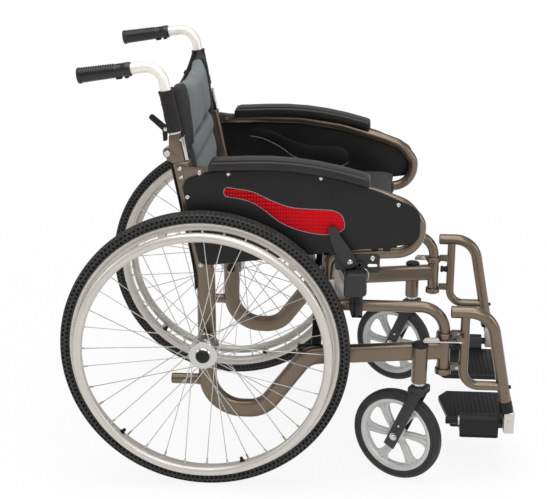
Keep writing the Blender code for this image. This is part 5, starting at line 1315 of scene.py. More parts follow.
class CHAIR_OT_armrests(ChairOperator, bpy.types.Operator):
    """Armrest tubes, crowned pads and the hinges on the uprights"""
    bl_idname = "chair.armrests"
    bl_label = "Armrests"

    def execute(self, context):
        y, z = ARM_PIVOT
        arm = tube(arm_line(), ARM_TUBE_RADIUS, ARM_X, 28)
        tongue = slab(filleted([(y + 0.0105, z + 0.0105, 0.0103), (y - 0.034, z + 0.0095),
                                (y - 0.034, z - 0.0095), (y + 0.0105, z - 0.0105, 0.0103)],
                               closed=True), ARM_X - 0.0085, ARM_X + 0.0015, bevel=0.001)
        pair(merged(arm, tongue), "arm_tube", "bronze_paint", "armrest", ["armrest_tube"])
        step = math.radians(4)

        bow_y, bow_radius = -0.2097, 0.675
        rear_z, bow_z, front_z = 0.6873, 0.6972, 0.6593

        def bowed(low, high, rear, front, corner):
            """Pad outline between two heights over the bow of its underside."""
            return filleted([(rear, rear_z + high, corner), (bow_y, bow_z + high, bow_radius),
                             (front, front_z + high, corner), (front, front_z + low, 0.005),
                             (bow_y, bow_z + low, bow_radius), (rear, rear_z + low, 0.005)],
                            closed=True, step=step)

        half = PAD_WIDTH / 2
        pad = merged(slab(bowed(0, 0.0195, -0.0120, -0.3370, 0.0085), ARM_X - half, ARM_X + half,
                          bevel=0.0080, segments=5),
                     slab(bowed(0.0100, 0.0217, -0.0190, -0.3300, 0.0060), ARM_X - half + 0.0070,
                          ARM_X + half - 0.0070, bevel=0.0028, segments=4))
        pair(pad, "arm_pad", "pad_plastic", "armrest", ["armrest_pad"], smooth=40)
        upright = back_y(z)
        cheek = slab(filleted([(y - 0.010, z + 0.009, 0.008), (y - 0.010, z - 0.009, 0.008),
                               (upright + 0.011, z - 0.022, 0.006),
                               (upright + 0.016, z + 0.016, 0.006)], closed=True),
                     0.2578, 0.2608, bevel=0.0006)
        bolts = [screw_head((0.2608, upright + 0.0055, z + 0.008), (1, 0, 0), 0.0052, 0.0034),
                 screw_head((0.2608, upright + 0.0025, z - 0.010), (1, 0, 0), 0.0052, 0.0034),
                 screw_head((0.2608, y, z), (1, 0, 0), 0.0050, 0.0022),
                 rod((ARM_X - 0.0115, y, z), (0.2600, y, z), 0.0038, 16)]
        pair(cheek, "arm_hinge", "bronze_paint", "side", ["armrest_hinge"])
        pair(merged(*bolts), "arm_hinge_bolts", "chromed_steel", "side")
        return {"FINISHED"}


class CHAIR_OT_panels(ChairOperator, bpy.types.Operator):
    """Black side panels with the red wave, its trim, screws and tube clips"""
    bl_idname = "chair.panels"
    bl_label = "Side panels"

    def execute(self, context):
        outline = filleted([(0.0440, 0.6630, 0.018), (-0.0250, 0.6868, 0.08),
                            (-0.2097, 0.6955, 0.50), (-0.3560, 0.6520, 0.10),
                            (-0.4400, 0.6150, 0.034),
                            (-0.4400, 0.5440, 0.026), (-0.0180, 0.4880, 0.02),
                            (0.0110, 0.4880, 0.016)], closed=True, step=math.radians(5))
        panel = slab(outline, PANEL_INNER_X, PANEL_OUTER_X, bevel=0.0013, segments=3)
        upper = [(-0.0415, 0.6445), (-0.0445, 0.652), (-0.052, 0.6545), (-0.067, 0.652),
                 (-0.096, 0.648), (-0.120, 0.638), (-0.146, 0.626), (-0.177, 0.616),
                 (-0.207, 0.613), (-0.242, 0.612), (-0.266, 0.610), (-0.282, 0.600),
                 (-0.288, 0.583)]
        lower = [(-0.288, 0.583), (-0.286, 0.572), (-0.274, 0.564), (-0.250, 0.559),
                 (-0.218, 0.562), (-0.187, 0.570), (-0.156, 0.584), (-0.126, 0.607),
                 (-0.102, 0.623), (-0.075, 0.631), (-0.052, 0.6345), (-0.0445, 0.637),
                 (-0.0415, 0.6445)]
        wave = smoothed(upper, 4) + smoothed(lower, 4)[1:-1]
        emboss = slab(wave, PANEL_INNER_X - 0.0005, PANEL_INNER_X + 0.0002, bevel=0.0003)
        clips = [box((ARM_X + 0.002, y0, z0), (PANEL_INNER_X + 0.0001, y1, z1), 0.0015)
                 for y0, z0, y1, z1 in ((-0.024, 0.4885, -0.014, 0.4990),
                                        (-0.357, 0.5270, -0.343, 0.5400),
                                        (-0.382, 0.5260, -0.367, 0.5400))]
        pair(merged(panel, emboss, *clips), "side_panel", "black_plastic", "armrest",
             ["armrest_panel"])
        inlay = slab(wave, PANEL_OUTER_X - 0.0002, PANEL_OUTER_X + 0.0007, bevel=0.0003)
        pair(inlay, "wave_inlay", "red_inlay", "armrest")
        ring = [(PANEL_OUTER_X + 0.0003, y, z) for y, z in [*wave, wave[0]]]
        inner = smoothed([(-0.046, 0.634), (-0.075, 0.629), (-0.107, 0.615), (-0.131, 0.600),
                          (-0.151, 0.586), (-0.187, 0.571), (-0.218, 0.563), (-0.250, 0.560),
                          (-0.274, 0.565), (-0.286, 0.573)], 4)
        line = [(PANEL_INNER_X - 0.0005, y, z) for y, z in inner]
        pair(merged(swept(ring, circle(0.0009, 8)), swept(line, circle(0.0008, 8))),
             "wave_trim", "grey_trim", "armrest")
        screws = [screw_head((PANEL_OUTER_X, y, z), (1, 0, 0), 0.0042, 0.0018)
                  for y, z in ((0.032, 0.632), (-0.052, 0.6825), (-0.2385, 0.6770), (-0.395, 0.6250))]
        pair(merged(*screws), "panel_screws", "chromed_steel", "armrest")
        return {"FINISHED"}


# Canes, grips and release levers

def handle_axis():
    end = Vector((FRAME_X, *HANDLE_END))
    corner = Vector((FRAME_X, back_y(HANDLE_CORNER_Z), HANDLE_CORNER_Z))
    return end, (end - corner).normalized()


class CHAIR_OT_canes(ChairOperator, bpy.types.Operator):
    """Bent canes with the folding brackets that they turn in"""
    bl_idname = "chair.canes"
    bl_label = "Canes"

    def execute(self, context):
        y, z = CANE_PIVOT
        line = filleted([(back_y(CANE_BOTTOM_Z), CANE_BOTTOM_Z),
                         (back_y(HANDLE_CORNER_Z), HANDLE_CORNER_Z, 0.036), HANDLE_END],
                        step=math.radians(6))
        cane = tube(line, CANE_RADIUS, FRAME_X, 32)
        top = CANE_BOTTOM_Z + 0.004
        tongue = slab(filleted([(back_y(top) - 0.009, top), (y - 0.0115, z - 0.0105, 0.0100),
                                (y + 0.0105, z - 0.0105, 0.0100), (y + 0.0105, z + 0.006, 0.005),
                                (back_y(z + 0.018) + 0.013, z + 0.018), (back_y(top) + 0.009, top)],
                               closed=True), FRAME_X - 0.005, FRAME_X + 0.005, bevel=0.0006)
        lever_z = CANE_BOTTOM_Z + 0.0095
        lever_y = back_y(lever_z) + CANE_RADIUS + 0.0065
        ears = [box((FRAME_X + x - 0.0009, lever_y - 0.012, lever_z - 0.004),
                    (FRAME_X + x + 0.0009, lever_y + 0.003, lever_z + 0.004), 0.0004)
                for x in (-0.0057, 0.0057)]
        foot = lathe([(0.0, 0.0113), (0.0, 0.0122), (0.0065, 0.0122), (0.0065, 0.0113)], 36)
        direction = Vector((0, math.sin(BACK_LEAN), math.cos(BACK_LEAN)))
        start = Vector((FRAME_X, back_y(CANE_BOTTOM_Z), CANE_BOTTOM_Z))
        # The canes get the brightened aluminium finish, a painted highlight.
        pair(cane, "cane", "cane_aluminium_painted_highlight", "back_cane", ["back_cane"])
        pair(merged(aimed(foot, start, start + direction), tongue, *ears), "cane_foot",
             "chromed_steel", "back_cane")

        low, high = UPRIGHT_TOP_Z + 0.0003, CANE_BOTTOM_Z - 0.0006
        front, rear = -0.0175, 0.0180
        slope = math.tan(BACK_LEAN)
        cheek = filleted([(back_y(low) - 0.0085, low + 0.0085 * slope, 0.001),
                          (back_y(low) + 0.0165, low - 0.0165 * slope, 0.003),
                          (y - 0.0040, z - 0.0095, 0.004), (y + 0.0088, z - 0.0085, 0.0080),
                          (y + 0.0088, z + 0.0085, 0.0080), (y - 0.0030, z + 0.0120, 0.004),
                          (back_y(high) + 0.0120, high - 0.0120 * slope, 0.002),
                          (back_y(high) - 0.0085, high + 0.0085 * slope, 0.002)], closed=True)
        sides = [slab(cheek, FRAME_X + min(a, b), FRAME_X + max(a, b), bevel=0.0010)
                 for a, b in ((-0.0105, -0.0055), (0.0055, 0.0105))]
        base = slab([(back_y(low) + front + 0.001, low - front * slope),
                     (back_y(low) + rear - 0.001, low - rear * slope), (y + 0.004, z - 0.0128),
                     (back_y(z) + front + 0.001, z - 0.0128)], FRAME_X - 0.0056, FRAME_X + 0.0056)
        pair(merged(*sides, base), "folding_bracket", "bronze_paint", "side", ["cane_bracket"])
        strip = slab(filleted([(back_y(0.706) + front, 0.7060, 0.001),
                               (back_y(0.704) - 0.0105, 0.7045, 0.001),
                               (back_y(0.752) - 0.0105, 0.7520, 0.001),
                               (back_y(0.754) + front, 0.7540, 0.002)], closed=True),
                     FRAME_X - 0.0095, FRAME_X + 0.0095, bevel=0.0012)
        bolts = [hex_head((FRAME_X + 0.0105, y, z), (1, 0, 0), 0.0118, 0.0044),
                 rod((FRAME_X - 0.0125, y, z), (FRAME_X + 0.0128, y, z), 0.0040, 20),
                 lathe([(FRAME_X - 0.0135, 0), (FRAME_X - 0.0135, 0.0050),
                        (FRAME_X - 0.0106, 0.0058), (FRAME_X - 0.0106, 0)], 24)]
        shifted(bolts[-1], Matrix.Translation((0, y, z)))
        catch = rod((FRAME_X - 0.0115, back_y(0.748) - 0.0110, 0.748),
                    (FRAME_X + 0.0125, back_y(0.748) - 0.0110, 0.748), 0.0030, 16, bevel=0.0006)
        pair(merged(strip, *bolts, catch), "bracket_bolts", "chromed_steel", "side")

        outline = filleted([(lever_y - 0.0042, lever_z + 0.004, 0.002),
                            (lever_y - 0.0030, lever_z - 0.024, 0.001),
                            (lever_y + 0.0050, lever_z - 0.026, 0.002),
                            (lever_y + 0.0062, lever_z - 0.003, 0.004),
                            (lever_y + 0.0345, lever_z + 0.0225, 0.0045),
                            (lever_y + 0.0275, lever_z + 0.0305, 0.0045)], closed=True)
        lever = slab(outline, FRAME_X - 0.0045, FRAME_X + 0.0045, bevel=0.0016, segments=3)
        pair(lever, "release_lever", "black_plastic", "cane_release", ["cane_release_lever"])
        return {"FINISHED"}


class CHAIR_OT_grips(ChairOperator, bpy.types.Operator):
    """Push grips with a ribbed back, a flange at each end and finger bumps"""
    bl_idname = "chair.grips"
    bl_label = "Push grips"

    def execute(self, context):
        end, axis = handle_axis()
        bore = CANE_RADIUS + 0.0003
        front = -GRIP_LENGTH + 0.003
        profile = [(0.0030, 0), (0.0030, 0.0142), (0.0022, 0.0156), (0.0008, 0.0163),
                   (-0.0032, 0.0163), (-0.0048, 0.0150), (-0.0400, 0.0143), (-0.0850, 0.0136),
                   (front + 0.0165, 0.0136), (front + 0.0150, 0.0144), (front + 0.0030, 0.0146),
                   (front, 0.0134), (front, bore), (0.0003, bore), (0.0003, 0)]
        sleeve = lathe(profile[::-1], 48)
        ribs = []
        for k in range(14):
            along = -0.0075 - k * 0.0049
            radius = 0.0151 + along * 0.014
            arc = [(along, radius * math.sin(a), radius * math.cos(a))
                   for a in (math.radians(-78 + 13 * n) for n in range(13))]
            ribs.append(swept(arc, circle(0.0013, 6), side=(1, 0, 0)))
        for side in (-1, 1):
            ribs.append(box((-0.0760, side * 0.0142 - 0.0011, -0.0018),
                            (-0.0060, side * 0.0142 + 0.0011, 0.0010), 0.0008))
        for k in range(9):
            for row in range(-2, 3):
                angle = math.radians(row * 26)
                dot = box((-0.0790 - k * 0.0026 - 0.0008, -0.0008, 0.0134),
                          (-0.0790 - k * 0.0026 + 0.0008, 0.0008, 0.0143), 0.0003, 1)
                ribs.append(shifted(dot, Matrix.Rotation(angle, 4, "X")))
        for along, length in ((-0.0800, 0.0130), (-0.0960, 0.0090)):
            bump = box((along - length / 2, -0.0060, -0.0172), (along + length / 2, 0.0060, -0.0120),
                       0.0024, 3)
            ribs.append(bump)
        grip = merged(sleeve, *ribs)
        pair(aimed(grip, end, end + axis), "push_grip", "grip_rubber", "back_cane", ["grip"])
        return {"FINISHED"}


class CHAIR_OT_brakes(ChairOperator, bpy.types.Operator):
    """Parking brakes: plate on the seat rail, moulded shoe and hand lever"""
    bl_idname = "chair.brakes"
    bl_label = "Brakes"

    def execute(self, context):
        py, pz = BRAKE_PIVOT
        sy, sz = SHOE_PIVOT
        low_x, high_x = BRAKE_PLATE_X - 0.002, BRAKE_PLATE_X + 0.002
        outer = filleted([(sy + 0.052, sz + 0.021, 0.006), (sy + 0.050, sz - 0.014, 0.006),
                          (sy - 0.041, sz - 0.019, 0.008), (sy - 0.041, sz + 0.021, 0.010)],
                         closed=True)
        inner = filleted([(sy - 0.016, sz - 0.007, 0.0035), (sy - 0.036, sz - 0.007, 0.0035),
                          (sy - 0.036, sz + 0.0005, 0.0035), (sy - 0.016, sz + 0.0005, 0.0035)],
                         closed=True)
        mount = holed_slab(outer, inner, low_x, high_x)
        neck = slab(filleted([(-0.328, 0.3795, 0.003), (-0.306, 0.3795, 0.003), (-0.300, 0.400, 0.01),
                              (-0.300, 0.4985), (-0.328, 0.4985)], closed=True),
                    0.2573, high_x, bevel=0.0010)
        foot = box((0.2450, -0.328, 0.3795), (high_x, -0.306, 0.3857), 0.0010)
        pair(merged(mount, neck, foot), "brake_plate", "black_painted_steel", "side",
             ["brake_mount"])
        pins = [rod((BRAKE_PLATE_X, sy, sz), (BRAKE_PLATE_X + 0.0074, sy, sz), 0.0030, 20),
                rod((BRAKE_PLATE_X, py, pz), (0.2888, py, pz), 0.0035, 20),
                screw_head((0.2878, py, pz), (1, 0, 0), 0.0058, 0.0033),
                screw_head((high_x, sy - 0.026, sz + 0.013), (1, 0, 0), 0.0054, 0.0028),
                swept(smoothed([(0.2745, -0.2965, 0.4945), (0.2760, -0.3105, 0.4915),
                                (0.2860, -0.3200, 0.4975), (0.2990, -0.3330, 0.4960),
                                (0.2990, -0.3385, 0.4870), (0.2960, -0.3370, 0.4720)], 5),
                      circle(0.0008, 8))]
        pair(merged(*pins), "brake_pins", "chromed_steel", "side")
        x, y = 0.2790, -0.3140
        peg = [rod((x, y, 0.3880), (x, y, 0.4365), 0.0042, 20, bevel=0.0008),
               lathe([(0.3850, 0), (0.3850, 0.0040), (0.3875, 0.0055), (0.3925, 0.0055),
                      (0.3950, 0.0042), (0.3950, 0)], 24),
               slab(filleted([(y - 0.0050, 0.4360), (y - 0.0115, 0.4090, 0.002),
                              (y - 0.0070, 0.4085, 0.001), (y - 0.0020, 0.4220), (y + 0.0020, 0.4220),
                              (y + 0.0070, 0.4085, 0.001), (y + 0.0115, 0.4090, 0.002),
                              (y + 0.0050, 0.4360)], closed=True), x - 0.0030, x + 0.0030,
                    bevel=0.0007)]
        standing(peg[1], x, y)
        pair(merged(*peg), "brake_clamp_peg", "black_plastic", "side")

        lx, ly, lz = SHOE_LOW
        hx, hy, hz = SHOE_HIGH
        outline = filleted([(ly, lz + 0.004, 0.010), (ly + 0.002, hz, 0.009), (hy - 0.003, hz, 0.012),
                            (hy, (lz + hz) / 2, 0.15), (hy - 0.001, lz, 0.008)], closed=True,
                           step=math.radians(6))
        shoe = slab(outline, lx, hx, bevel=0.0050, segments=5)
        ear = slab(filleted([(sy - 0.0075, sz + 0.007, 0.0065), (sy - 0.010, sz - 0.022),
                             (sy + 0.010, sz - 0.022), (sy + 0.0075, sz + 0.007, 0.0065)],
                            closed=True), lx, lx + 0.0028, bevel=0.0005)
        pair(merged(shoe, ear), "brake_shoe", "dark_grey_plastic", "brake_shoe", ["brake_shoe"],
             smooth=40)
        centre = smoothed([(-0.0070, -0.0105, 0.0105), (0, 0, 0.0128), (0.0115, 0.0175, 0.0140),
                           (0.0225, 0.0350, 0.0130), (0.0310, 0.0530, 0.0102),
                           (0.0370, 0.0735, 0.0072)], 5)
        rear, face = [], []
        for i, spot in enumerate(centre):
            ahead = centre[min(i + 1, len(centre) - 1)] - centre[max(i - 1, 0)]
            side = Vector((ahead.y, -ahead.x)).normalized() * spot.z
            middle = Vector((py + spot.x, pz + spot.y))
            rear.append(middle + side)
            face.append(middle - side)
        outline = [(*rear[0], 0.0095), *rear[1:-1], (*rear[-1], 0.0055), (*face[-1], 0.0055),
                   *face[-2:0:-1], (*face[0], 0.0095)]
        lever = slab(filleted(outline, closed=True), 0.2773, 0.2873, bevel=0.0026, segments=4)
        pair(lever, "brake_handle", "dark_grey_plastic", "brake_lever", ["brake_lever"], smooth=40)
        return {"FINISHED"}


# Footrests

def leg_run():
    leg = Vector(HANGER_END) - Vector((HANGER_CORNER_Y, HANGER_TOP_Z))
    return leg.normalized()


class CHAIR_OT_hangers(ChairOperator, bpy.types.Operator):
    """Swing-away footrest hangers with their hinge rings, bumpers and release levers"""
    bl_idname = "chair.hangers"
    bl_label = "Footrest hangers"

    def execute(self, context):
        path = filleted([(HANGER_REAR_Y, HANGER_TOP_Z), (HANGER_CORNER_Y, HANGER_TOP_Z, 0.055),
                         HANGER_END], step=math.radians(5))
        run = leg_run()
        end = Vector(HANGER_END)
        inner = HANGER_RADIUS - 0.0022
        tube_end = lathe([(0.0, inner), (0.0, HANGER_RADIUS), (0.0012, HANGER_RADIUS + 0.0006),
                          (0.0060, HANGER_RADIUS + 0.0006), (0.0070, HANGER_RADIUS),
                          (0.0070, inner)], 36)
        back_from_end = Vector((FRAME_X, *(end - run * 0.0070)))
        aimed(tube_end, Vector((FRAME_X, *end)), back_from_end)
        bow = tube(path, HANGER_RADIUS, FRAME_X, 32)
        leg_y = HANGER_CORNER_Y + (HANGER_TOP_Z - STRUT_BOTTOM_Z) * (
            HANGER_END[0] - HANGER_CORNER_Y) / (HANGER_TOP_Z - HANGER_END[1])
        strut = tube(filleted([(STRUT_Y, HANGER_TOP_Z - 0.004), (STRUT_Y, STRUT_BOTTOM_Z, 0.034),
                               (leg_y, STRUT_BOTTOM_Z)], step=math.radians(6)),
                     STRUT_RADIUS, FRAME_X, 28)
        lugs = []
        for ring_low, ring_high, bore, arm_z in (
                (POST_TOP_Z + 0.0003, POST_TOP_Z + 0.0125, 0.0126, POST_TOP_Z + 0.0095),
                (POST_BOTTOM_Z - 0.012, POST_BOTTOM_Z - 0.0003, 0.0045, POST_BOTTOM_Z + 0.003)):
            ring = lathe([(ring_low, bore), (ring_low, 0.0164), (ring_low + 0.0008, 0.0172),
                          (ring_high - 0.0008, 0.0172), (ring_high, 0.0164), (ring_high, bore)], 40)
            lugs.append(standing(ring, FRAME_X, POST_Y))
            lugs.append(box((FRAME_X - 0.0065, STRUT_Y + 0.002, arm_z - 0.007),
                            (FRAME_X + 0.0065, POST_Y - POST_RADIUS - 0.0008, arm_z + 0.007), 0.0015))
        lx, ly, lz = FRAME_X + 0.0175, STRUT_Y + 0.010, POST_TOP_Z - 0.0035
        ear = box((FRAME_X + 0.004, ly - 0.007, lz + 0.0043),
                  (lx + 0.006, ly + 0.007, lz + 0.013), 0.0010)
        pair(merged(bow, tube_end, strut, *lugs, ear), "hanger", "bronze_paint",
             "footrest_hanger", ["footrest_hanger"])
        plug = lathe([(0.0, 0), (0.0, 0.0112), (0.0008, 0.0108), (0.0012, 0.0096), (0.0012, 0)], 32)
        aimed(plug, (FRAME_X, HANGER_REAR_Y, HANGER_TOP_Z),
              (FRAME_X, HANGER_REAR_Y + 1, HANGER_TOP_Z))
        bumper = lathe([(0.0, 0), (0.0, 0.0075), (0.0090, 0.0075), (0.0095, 0.0062), (0.0125, 0.0062),
                        (0.0130, 0.0080), (0.0175, 0.0080), (0.0190, 0.0066), (0.0190, 0)], 32)
        aimed(bumper, (FRAME_X, STRUT_Y + 0.0060, 0.3115), (FRAME_X, 0, 0.3115))
        knob = rod((FRAME_X, *(end - run * 0.030 + Vector((-0.0120, 0.0023)))),
                   (FRAME_X, *(end - run * 0.030 + Vector((-0.0165, 0.0032)))), 0.0040, 20,
                   bevel=0.0010)
        pair(merged(plug, bumper, knob), "hanger_plugs", "black_plastic", "footrest_hanger")
        x = FRAME_X + 0.0065
        pin = rod((FRAME_X, POST_Y, POST_BOTTOM_Z - 0.0150), (FRAME_X, POST_Y, POST_BOTTOM_Z - 0.0080),
                  0.0060, 20, bevel=0.0010)
        bolts = [*(screw_head((x, STRUT_Y + 0.0140, bolt_z), (1, 0, 0), 0.0042, 0.0026)
                   for bolt_z in (POST_TOP_Z + 0.0095, POST_BOTTOM_Z + 0.003)),
                 rod((lx, ly, lz - 0.0022), (lx, ly, lz + 0.0145), 0.0025, 16, bevel=0.0005)]
        pair(merged(pin, *bolts), "hanger_bolts", "chromed_steel", "footrest_hanger")
        eye = lathe([(lz, 0.0028), (lz, 0.0052), (lz + 0.0006, 0.0058), (lz + 0.0034, 0.0058),
                     (lz + 0.0040, 0.0052), (lz + 0.0040, 0.0028)], 28)
        standing(eye, lx, ly)
        blade = slab(filleted([(lx - 0.0045, ly), (lx + 0.0045, ly), (lx + 0.0060, POST_Y + 0.010, 0.02),
                               (lx + 0.0075, POST_Y + 0.044, 0.002),
                               (lx - 0.0005, POST_Y + 0.046, 0.002),
                               (lx - 0.0015, POST_Y + 0.010, 0.02)], closed=True),
                     lz + 0.0005, lz + 0.0035, FLAT, bevel=0.0006)
        curl = slab(filleted([(POST_Y + 0.0460, lz + 0.0033), (POST_Y + 0.0100, lz + 0.0033),
                              (POST_Y + 0.0130, lz + 0.0120, 0.004),
                              (POST_Y + 0.0400, lz + 0.0120, 0.008)], closed=True),
                    lx + 0.0045, lx + 0.0065, bevel=0.0005)
        pair(merged(eye, blade, curl), "swing_release", "chromed_steel", "hanger_latch",
             ["hanger_latch"])
        return {"FINISHED"}


class CHAIR_OT_footrests(ChairOperator, bpy.types.Operator):
    """Height-adjustable leg ends and ribbed flip-up footplates"""
    bl_idname = "chair.footrests"
    bl_label = "Footrests"

    def execute(self, context):
        run = leg_run()
        end = Vector(HANGER_END)
        foot = end + run * 0.060
        deep = end - run * 0.070
        leg = rod((FRAME_X, *deep), (FRAME_X, *foot), 0.0090, 28)
        axle = rod((PLATE_AXLE_X, foot.x, PLATE_AXLE_Z), (PLATE_AXLE_X, -0.5120, PLATE_AXLE_Z),
                   0.0080, 28, bevel=0.0014)
        collar = lathe([(0.0003, 0.0092), (0.0003, 0.0130), (0.0015, 0.0138), (0.0245, 0.0138),
                        (0.0260, 0.0128), (0.0260, 0.0092)], 36)
        aimed(collar, (FRAME_X, *end), (FRAME_X, *(end + run)))
        grooves = [aimed(lathe([(k, 0.0136), (k, 0.0143), (k + 0.0016, 0.0143), (k + 0.0016, 0.0136)],
                               36), (FRAME_X, *end), (FRAME_X, *(end + run)))
                   for k in (0.0050, 0.0100, 0.0150, 0.0200)]
        pair(merged(leg, axle, collar, *grooves), "leg_end", "black_plastic",
             "footrest_extension")
        clamp = slab(filleted([(foot.x - 0.010, 0.1180, 0.003), (foot.x + 0.012, 0.1180, 0.003),
                               (foot.x + 0.012, 0.1665, 0.003), (foot.x - 0.010, 0.1665, 0.003)],
                              closed=True), PLATE_AXLE_X - 0.011, FRAME_X + 0.012, bevel=0.0020,
                     segments=3)
        ring = lathe([(-0.5415, 0.0084), (-0.5415, 0.0102), (-0.5385, 0.0102), (-0.5385, 0.0084)], 32)
        shifted(ring, Matrix.Translation((PLATE_AXLE_X, 0, PLATE_AXLE_Z))
                @ Matrix.Rotation(math.pi / 2, 4, "Z"))
        heads = [screw_head((FRAME_X + 0.012, foot.x + 0.001, 0.1480), (1, 0, 0), 0.0040, 0.0020),
                 hex_head((PLATE_AXLE_X, foot.x - 0.0100, PLATE_AXLE_Z), (0, -1, 0), 0.0110, 0.0030)]
        pair(merged(clamp, ring, *heads), "leg_clamp", "silver_aluminium", "footrest_extension",
             ["footrest_extension"])

        outline = filleted([(PLATE_INNER_X, PLATE_FRONT_Y + 0.004, 0.010),
                            (PLATE_INNER_X, PLATE_REAR_Y - 0.020, 0.006),
                            (PLATE_INNER_X + 0.030, PLATE_REAR_Y, 0.010),
                            (PLATE_OUTER_X, PLATE_REAR_Y - 0.0205, 0.004),
                            (PLATE_OUTER_X, PLATE_FRONT_Y, 0.006)], closed=True)
        board = slab(outline, PLATE_TOP_Z - PLATE_THICKNESS, PLATE_TOP_Z, FLAT, bevel=0.0022,
                     segments=3)
        ribs = [box((PLATE_INNER_X + 0.010, y - 0.0021, PLATE_TOP_Z - 0.001),
                    (PLATE_OUTER_X - 0.014, y + 0.0021, PLATE_TOP_Z + 0.0014), 0.0008)
                for y in (PLATE_REAR_Y - 0.026 - k * RIB_PITCH for k in range(13))]
        bottom = PLATE_TOP_Z - PLATE_THICKNESS + 0.0006
        cover = filleted([(PLATE_OUTER_X - 0.006, bottom), (PLATE_OUTER_X - 0.006, 0.122, 0.006),
                          (PLATE_AXLE_X - 0.010, 0.147, 0.012), (PLATE_AXLE_X + 0.0135, 0.147, 0.012),
                          (PLATE_AXLE_X + 0.0135, 0.098, 0.002), (PLATE_AXLE_X + 0.009, 0.098, 0.002),
                          (PLATE_AXLE_X + 0.009, bottom, 0.003)], closed=True)
        hollow = [(PLATE_AXLE_X + a, PLATE_AXLE_Z + b) for a, b in circle(0.0084, 32)]
        cover = holed_slab(cover, hollow, 0.5425, 0.6245, FRONT_PLANE)
        ledge = box((PLATE_AXLE_X + 0.0128, -0.6210, 0.0985), (PLATE_AXLE_X + 0.0150, -0.5460, 0.1025),
                    0.0008)
        pair(merged(board, cover, ledge, *ribs), "footplate", "black_plastic", "footplate",
             ["footplate"])
        return {"FINISHED"}


# Stage

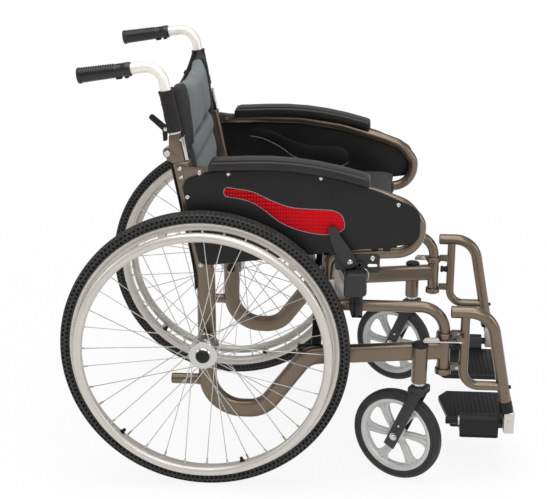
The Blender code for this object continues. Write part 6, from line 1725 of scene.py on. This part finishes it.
class CHAIR_OT_stage(ChairOperator, bpy.types.Operator):
    """Pale floor, soft studio light and the camera at the photograph's angle"""
    bl_idname = "chair.stage"
    bl_label = "Stage"

    def execute(self, context):
        scene = context.scene
        b = Board("floor", (0.90, 0.90, 0.90), 0.75)
        path = b.node("ShaderNodeLightPath", output="Is Camera Ray").socket.node
        seen = b.math("MINIMUM", Wire(b, path.outputs["Is Camera Ray"])
                      + Wire(b, path.outputs["Is Glossy Ray"])
                      + Wire(b, path.outputs["Is Transmission Ray"]), 1.0)
        glow = b.node("ShaderNodeEmission", {}, {"Color": (1, 1, 1), "Strength": 1.0})
        x, y, z = b.axes(b.point())
        away = b.step(b.math("SQRT", x * x + y * y), 0.7, 2.2)
        both = b.node("ShaderNodeMixShader", {}, {0: seen * (0.88 + away * 0.12),
                                                  1: Wire(b, b.shader.outputs[0]), 2: glow})
        b.feed(b.tree.nodes["Material Output"].inputs["Surface"], both)
        bm = bmesh.new()
        bmesh.ops.create_grid(bm, x_segments=1, y_segments=1, size=30.0)
        bmesh.ops.translate(bm, vec=(0, 0, -0.0006), verts=bm.verts)
        mesh = bpy.data.meshes.new("floor")
        bm.to_mesh(mesh)
        bm.free()
        mesh.materials.append(b.material)
        floor = bpy.data.objects.new("floor", mesh)
        scene.collection.objects.link(floor)

        world = bpy.data.worlds.new("studio")
        scene.world = world
        world.use_nodes = True
        w = Board.__new__(Board)
        w.tree = world.node_tree
        path = w.node("ShaderNodeLightPath", output="Is Camera Ray").socket.node
        seen = w.math("MINIMUM", Wire(w, path.outputs["Is Camera Ray"])
                      + Wire(w, path.outputs["Is Transmission Ray"]), 1.0)
        back = w.tree.nodes["Background"]
        w.feed(back.inputs["Color"], (0.96, 0.98, 1.0))
        w.feed(back.inputs["Strength"], 0.42)
        white = w.node("ShaderNodeBackground", {}, {"Color": (1, 1, 1), "Strength": 1.0})
        both = w.node("ShaderNodeMixShader", {}, {0: seen, 1: Wire(w, back.outputs[0]), 2: white})
        w.feed(w.tree.nodes["World Output"].inputs["Surface"], both)

        aim = Vector((0, 0.05, 0.40))
        for name, place_at, size, power in (
                ("overhead", (-0.5, 0.0, 3.2), 3.2, 82.0),
                ("key", (-3.0, -1.2, 2.2), 1.6, 26.0),
                ("front", (-0.8, -3.6, 1.6), 1.6, 22.0),
                ("rear", (-0.6, 3.6, 1.8), 1.6, 18.0)):
            data = bpy.data.lights.new(name, "AREA")
            data.shape = "SQUARE"
            data.size = size
            data.energy = power
            lamp = bpy.data.objects.new(name, data)
            lamp.location = place_at
            lamp.rotation_euler = (aim - Vector(place_at)).to_track_quat("-Z", "Y").to_euler()
            scene.collection.objects.link(lamp)

        level = math.cos(CAMERA_PITCH)
        ahead = Vector((math.cos(CAMERA_YAW) * level, math.sin(CAMERA_YAW) * level,
                        -math.sin(CAMERA_PITCH)))
        data = bpy.data.cameras.new("camera")
        data.sensor_width = 36.0
        data.lens = FOCAL_PIXELS * data.sensor_width / PHOTO_WIDTH
        camera = bpy.data.objects.new("camera", data)
        camera.location = Vector(CAMERA_AT) + Vector((0, CENTRE_SHIFT, 0))
        camera.rotation_euler = ahead.to_track_quat("-Z", "Y").to_euler()
        scene.collection.objects.link(camera)
        scene.camera = camera
        scene.view_settings.view_transform = "Standard"
        return {"FINISHED"}


CLASSES = [ChairColours, ChairSizes, CHAIR_OT_stage, CHAIR_OT_rear_tyres, CHAIR_OT_rear_rims,
           CHAIR_OT_spokes, CHAIR_OT_side_frames, CHAIR_OT_front_frames, CHAIR_OT_caster_wheels,
           CHAIR_OT_caster_forks, CHAIR_OT_brace, CHAIR_OT_seat, CHAIR_OT_back,
           CHAIR_OT_armrests, CHAIR_OT_panels, CHAIR_OT_canes, CHAIR_OT_grips,
           CHAIR_OT_brakes, CHAIR_OT_hangers, CHAIR_OT_footrests]


class CHAIR_PT_panel(bpy.types.Panel):
    """Sizes, colours and pieces of the wheelchair"""
    bl_idname = "CHAIR_PT_panel"
    bl_label = "Wheelchair"
    bl_space_type = "VIEW_3D"
    bl_region_type = "UI"
    bl_category = "Wheelchair"

    def draw(self, context):
        layout = self.layout
        for group in (context.scene.chair_colours, context.scene.chair_sizes):
            for name in group.__annotations__:
                layout.prop(group, name)
        for made in operators():
            layout.operator(made.bl_idname)


def operators():
    return [made for made in CLASSES if issubclass(made, bpy.types.Operator)]


def register():
    for made in [*CLASSES, CHAIR_PT_panel]:
        bpy.utils.register_class(made)
    bpy.types.Scene.chair_colours = PointerProperty(type=ChairColours)
    bpy.types.Scene.chair_sizes = PointerProperty(type=ChairSizes)


def unregister():
    del bpy.types.Scene.chair_sizes
    del bpy.types.Scene.chair_colours
    for made in [CHAIR_PT_panel, *CLASSES[::-1]]:
        bpy.utils.unregister_class(made)


def main():
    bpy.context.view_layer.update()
    register()
    for made in operators():
        group, name = made.bl_idname.split(".")
        getattr(getattr(bpy.ops, group), name)()


if __name__ == "__main__":
    main()
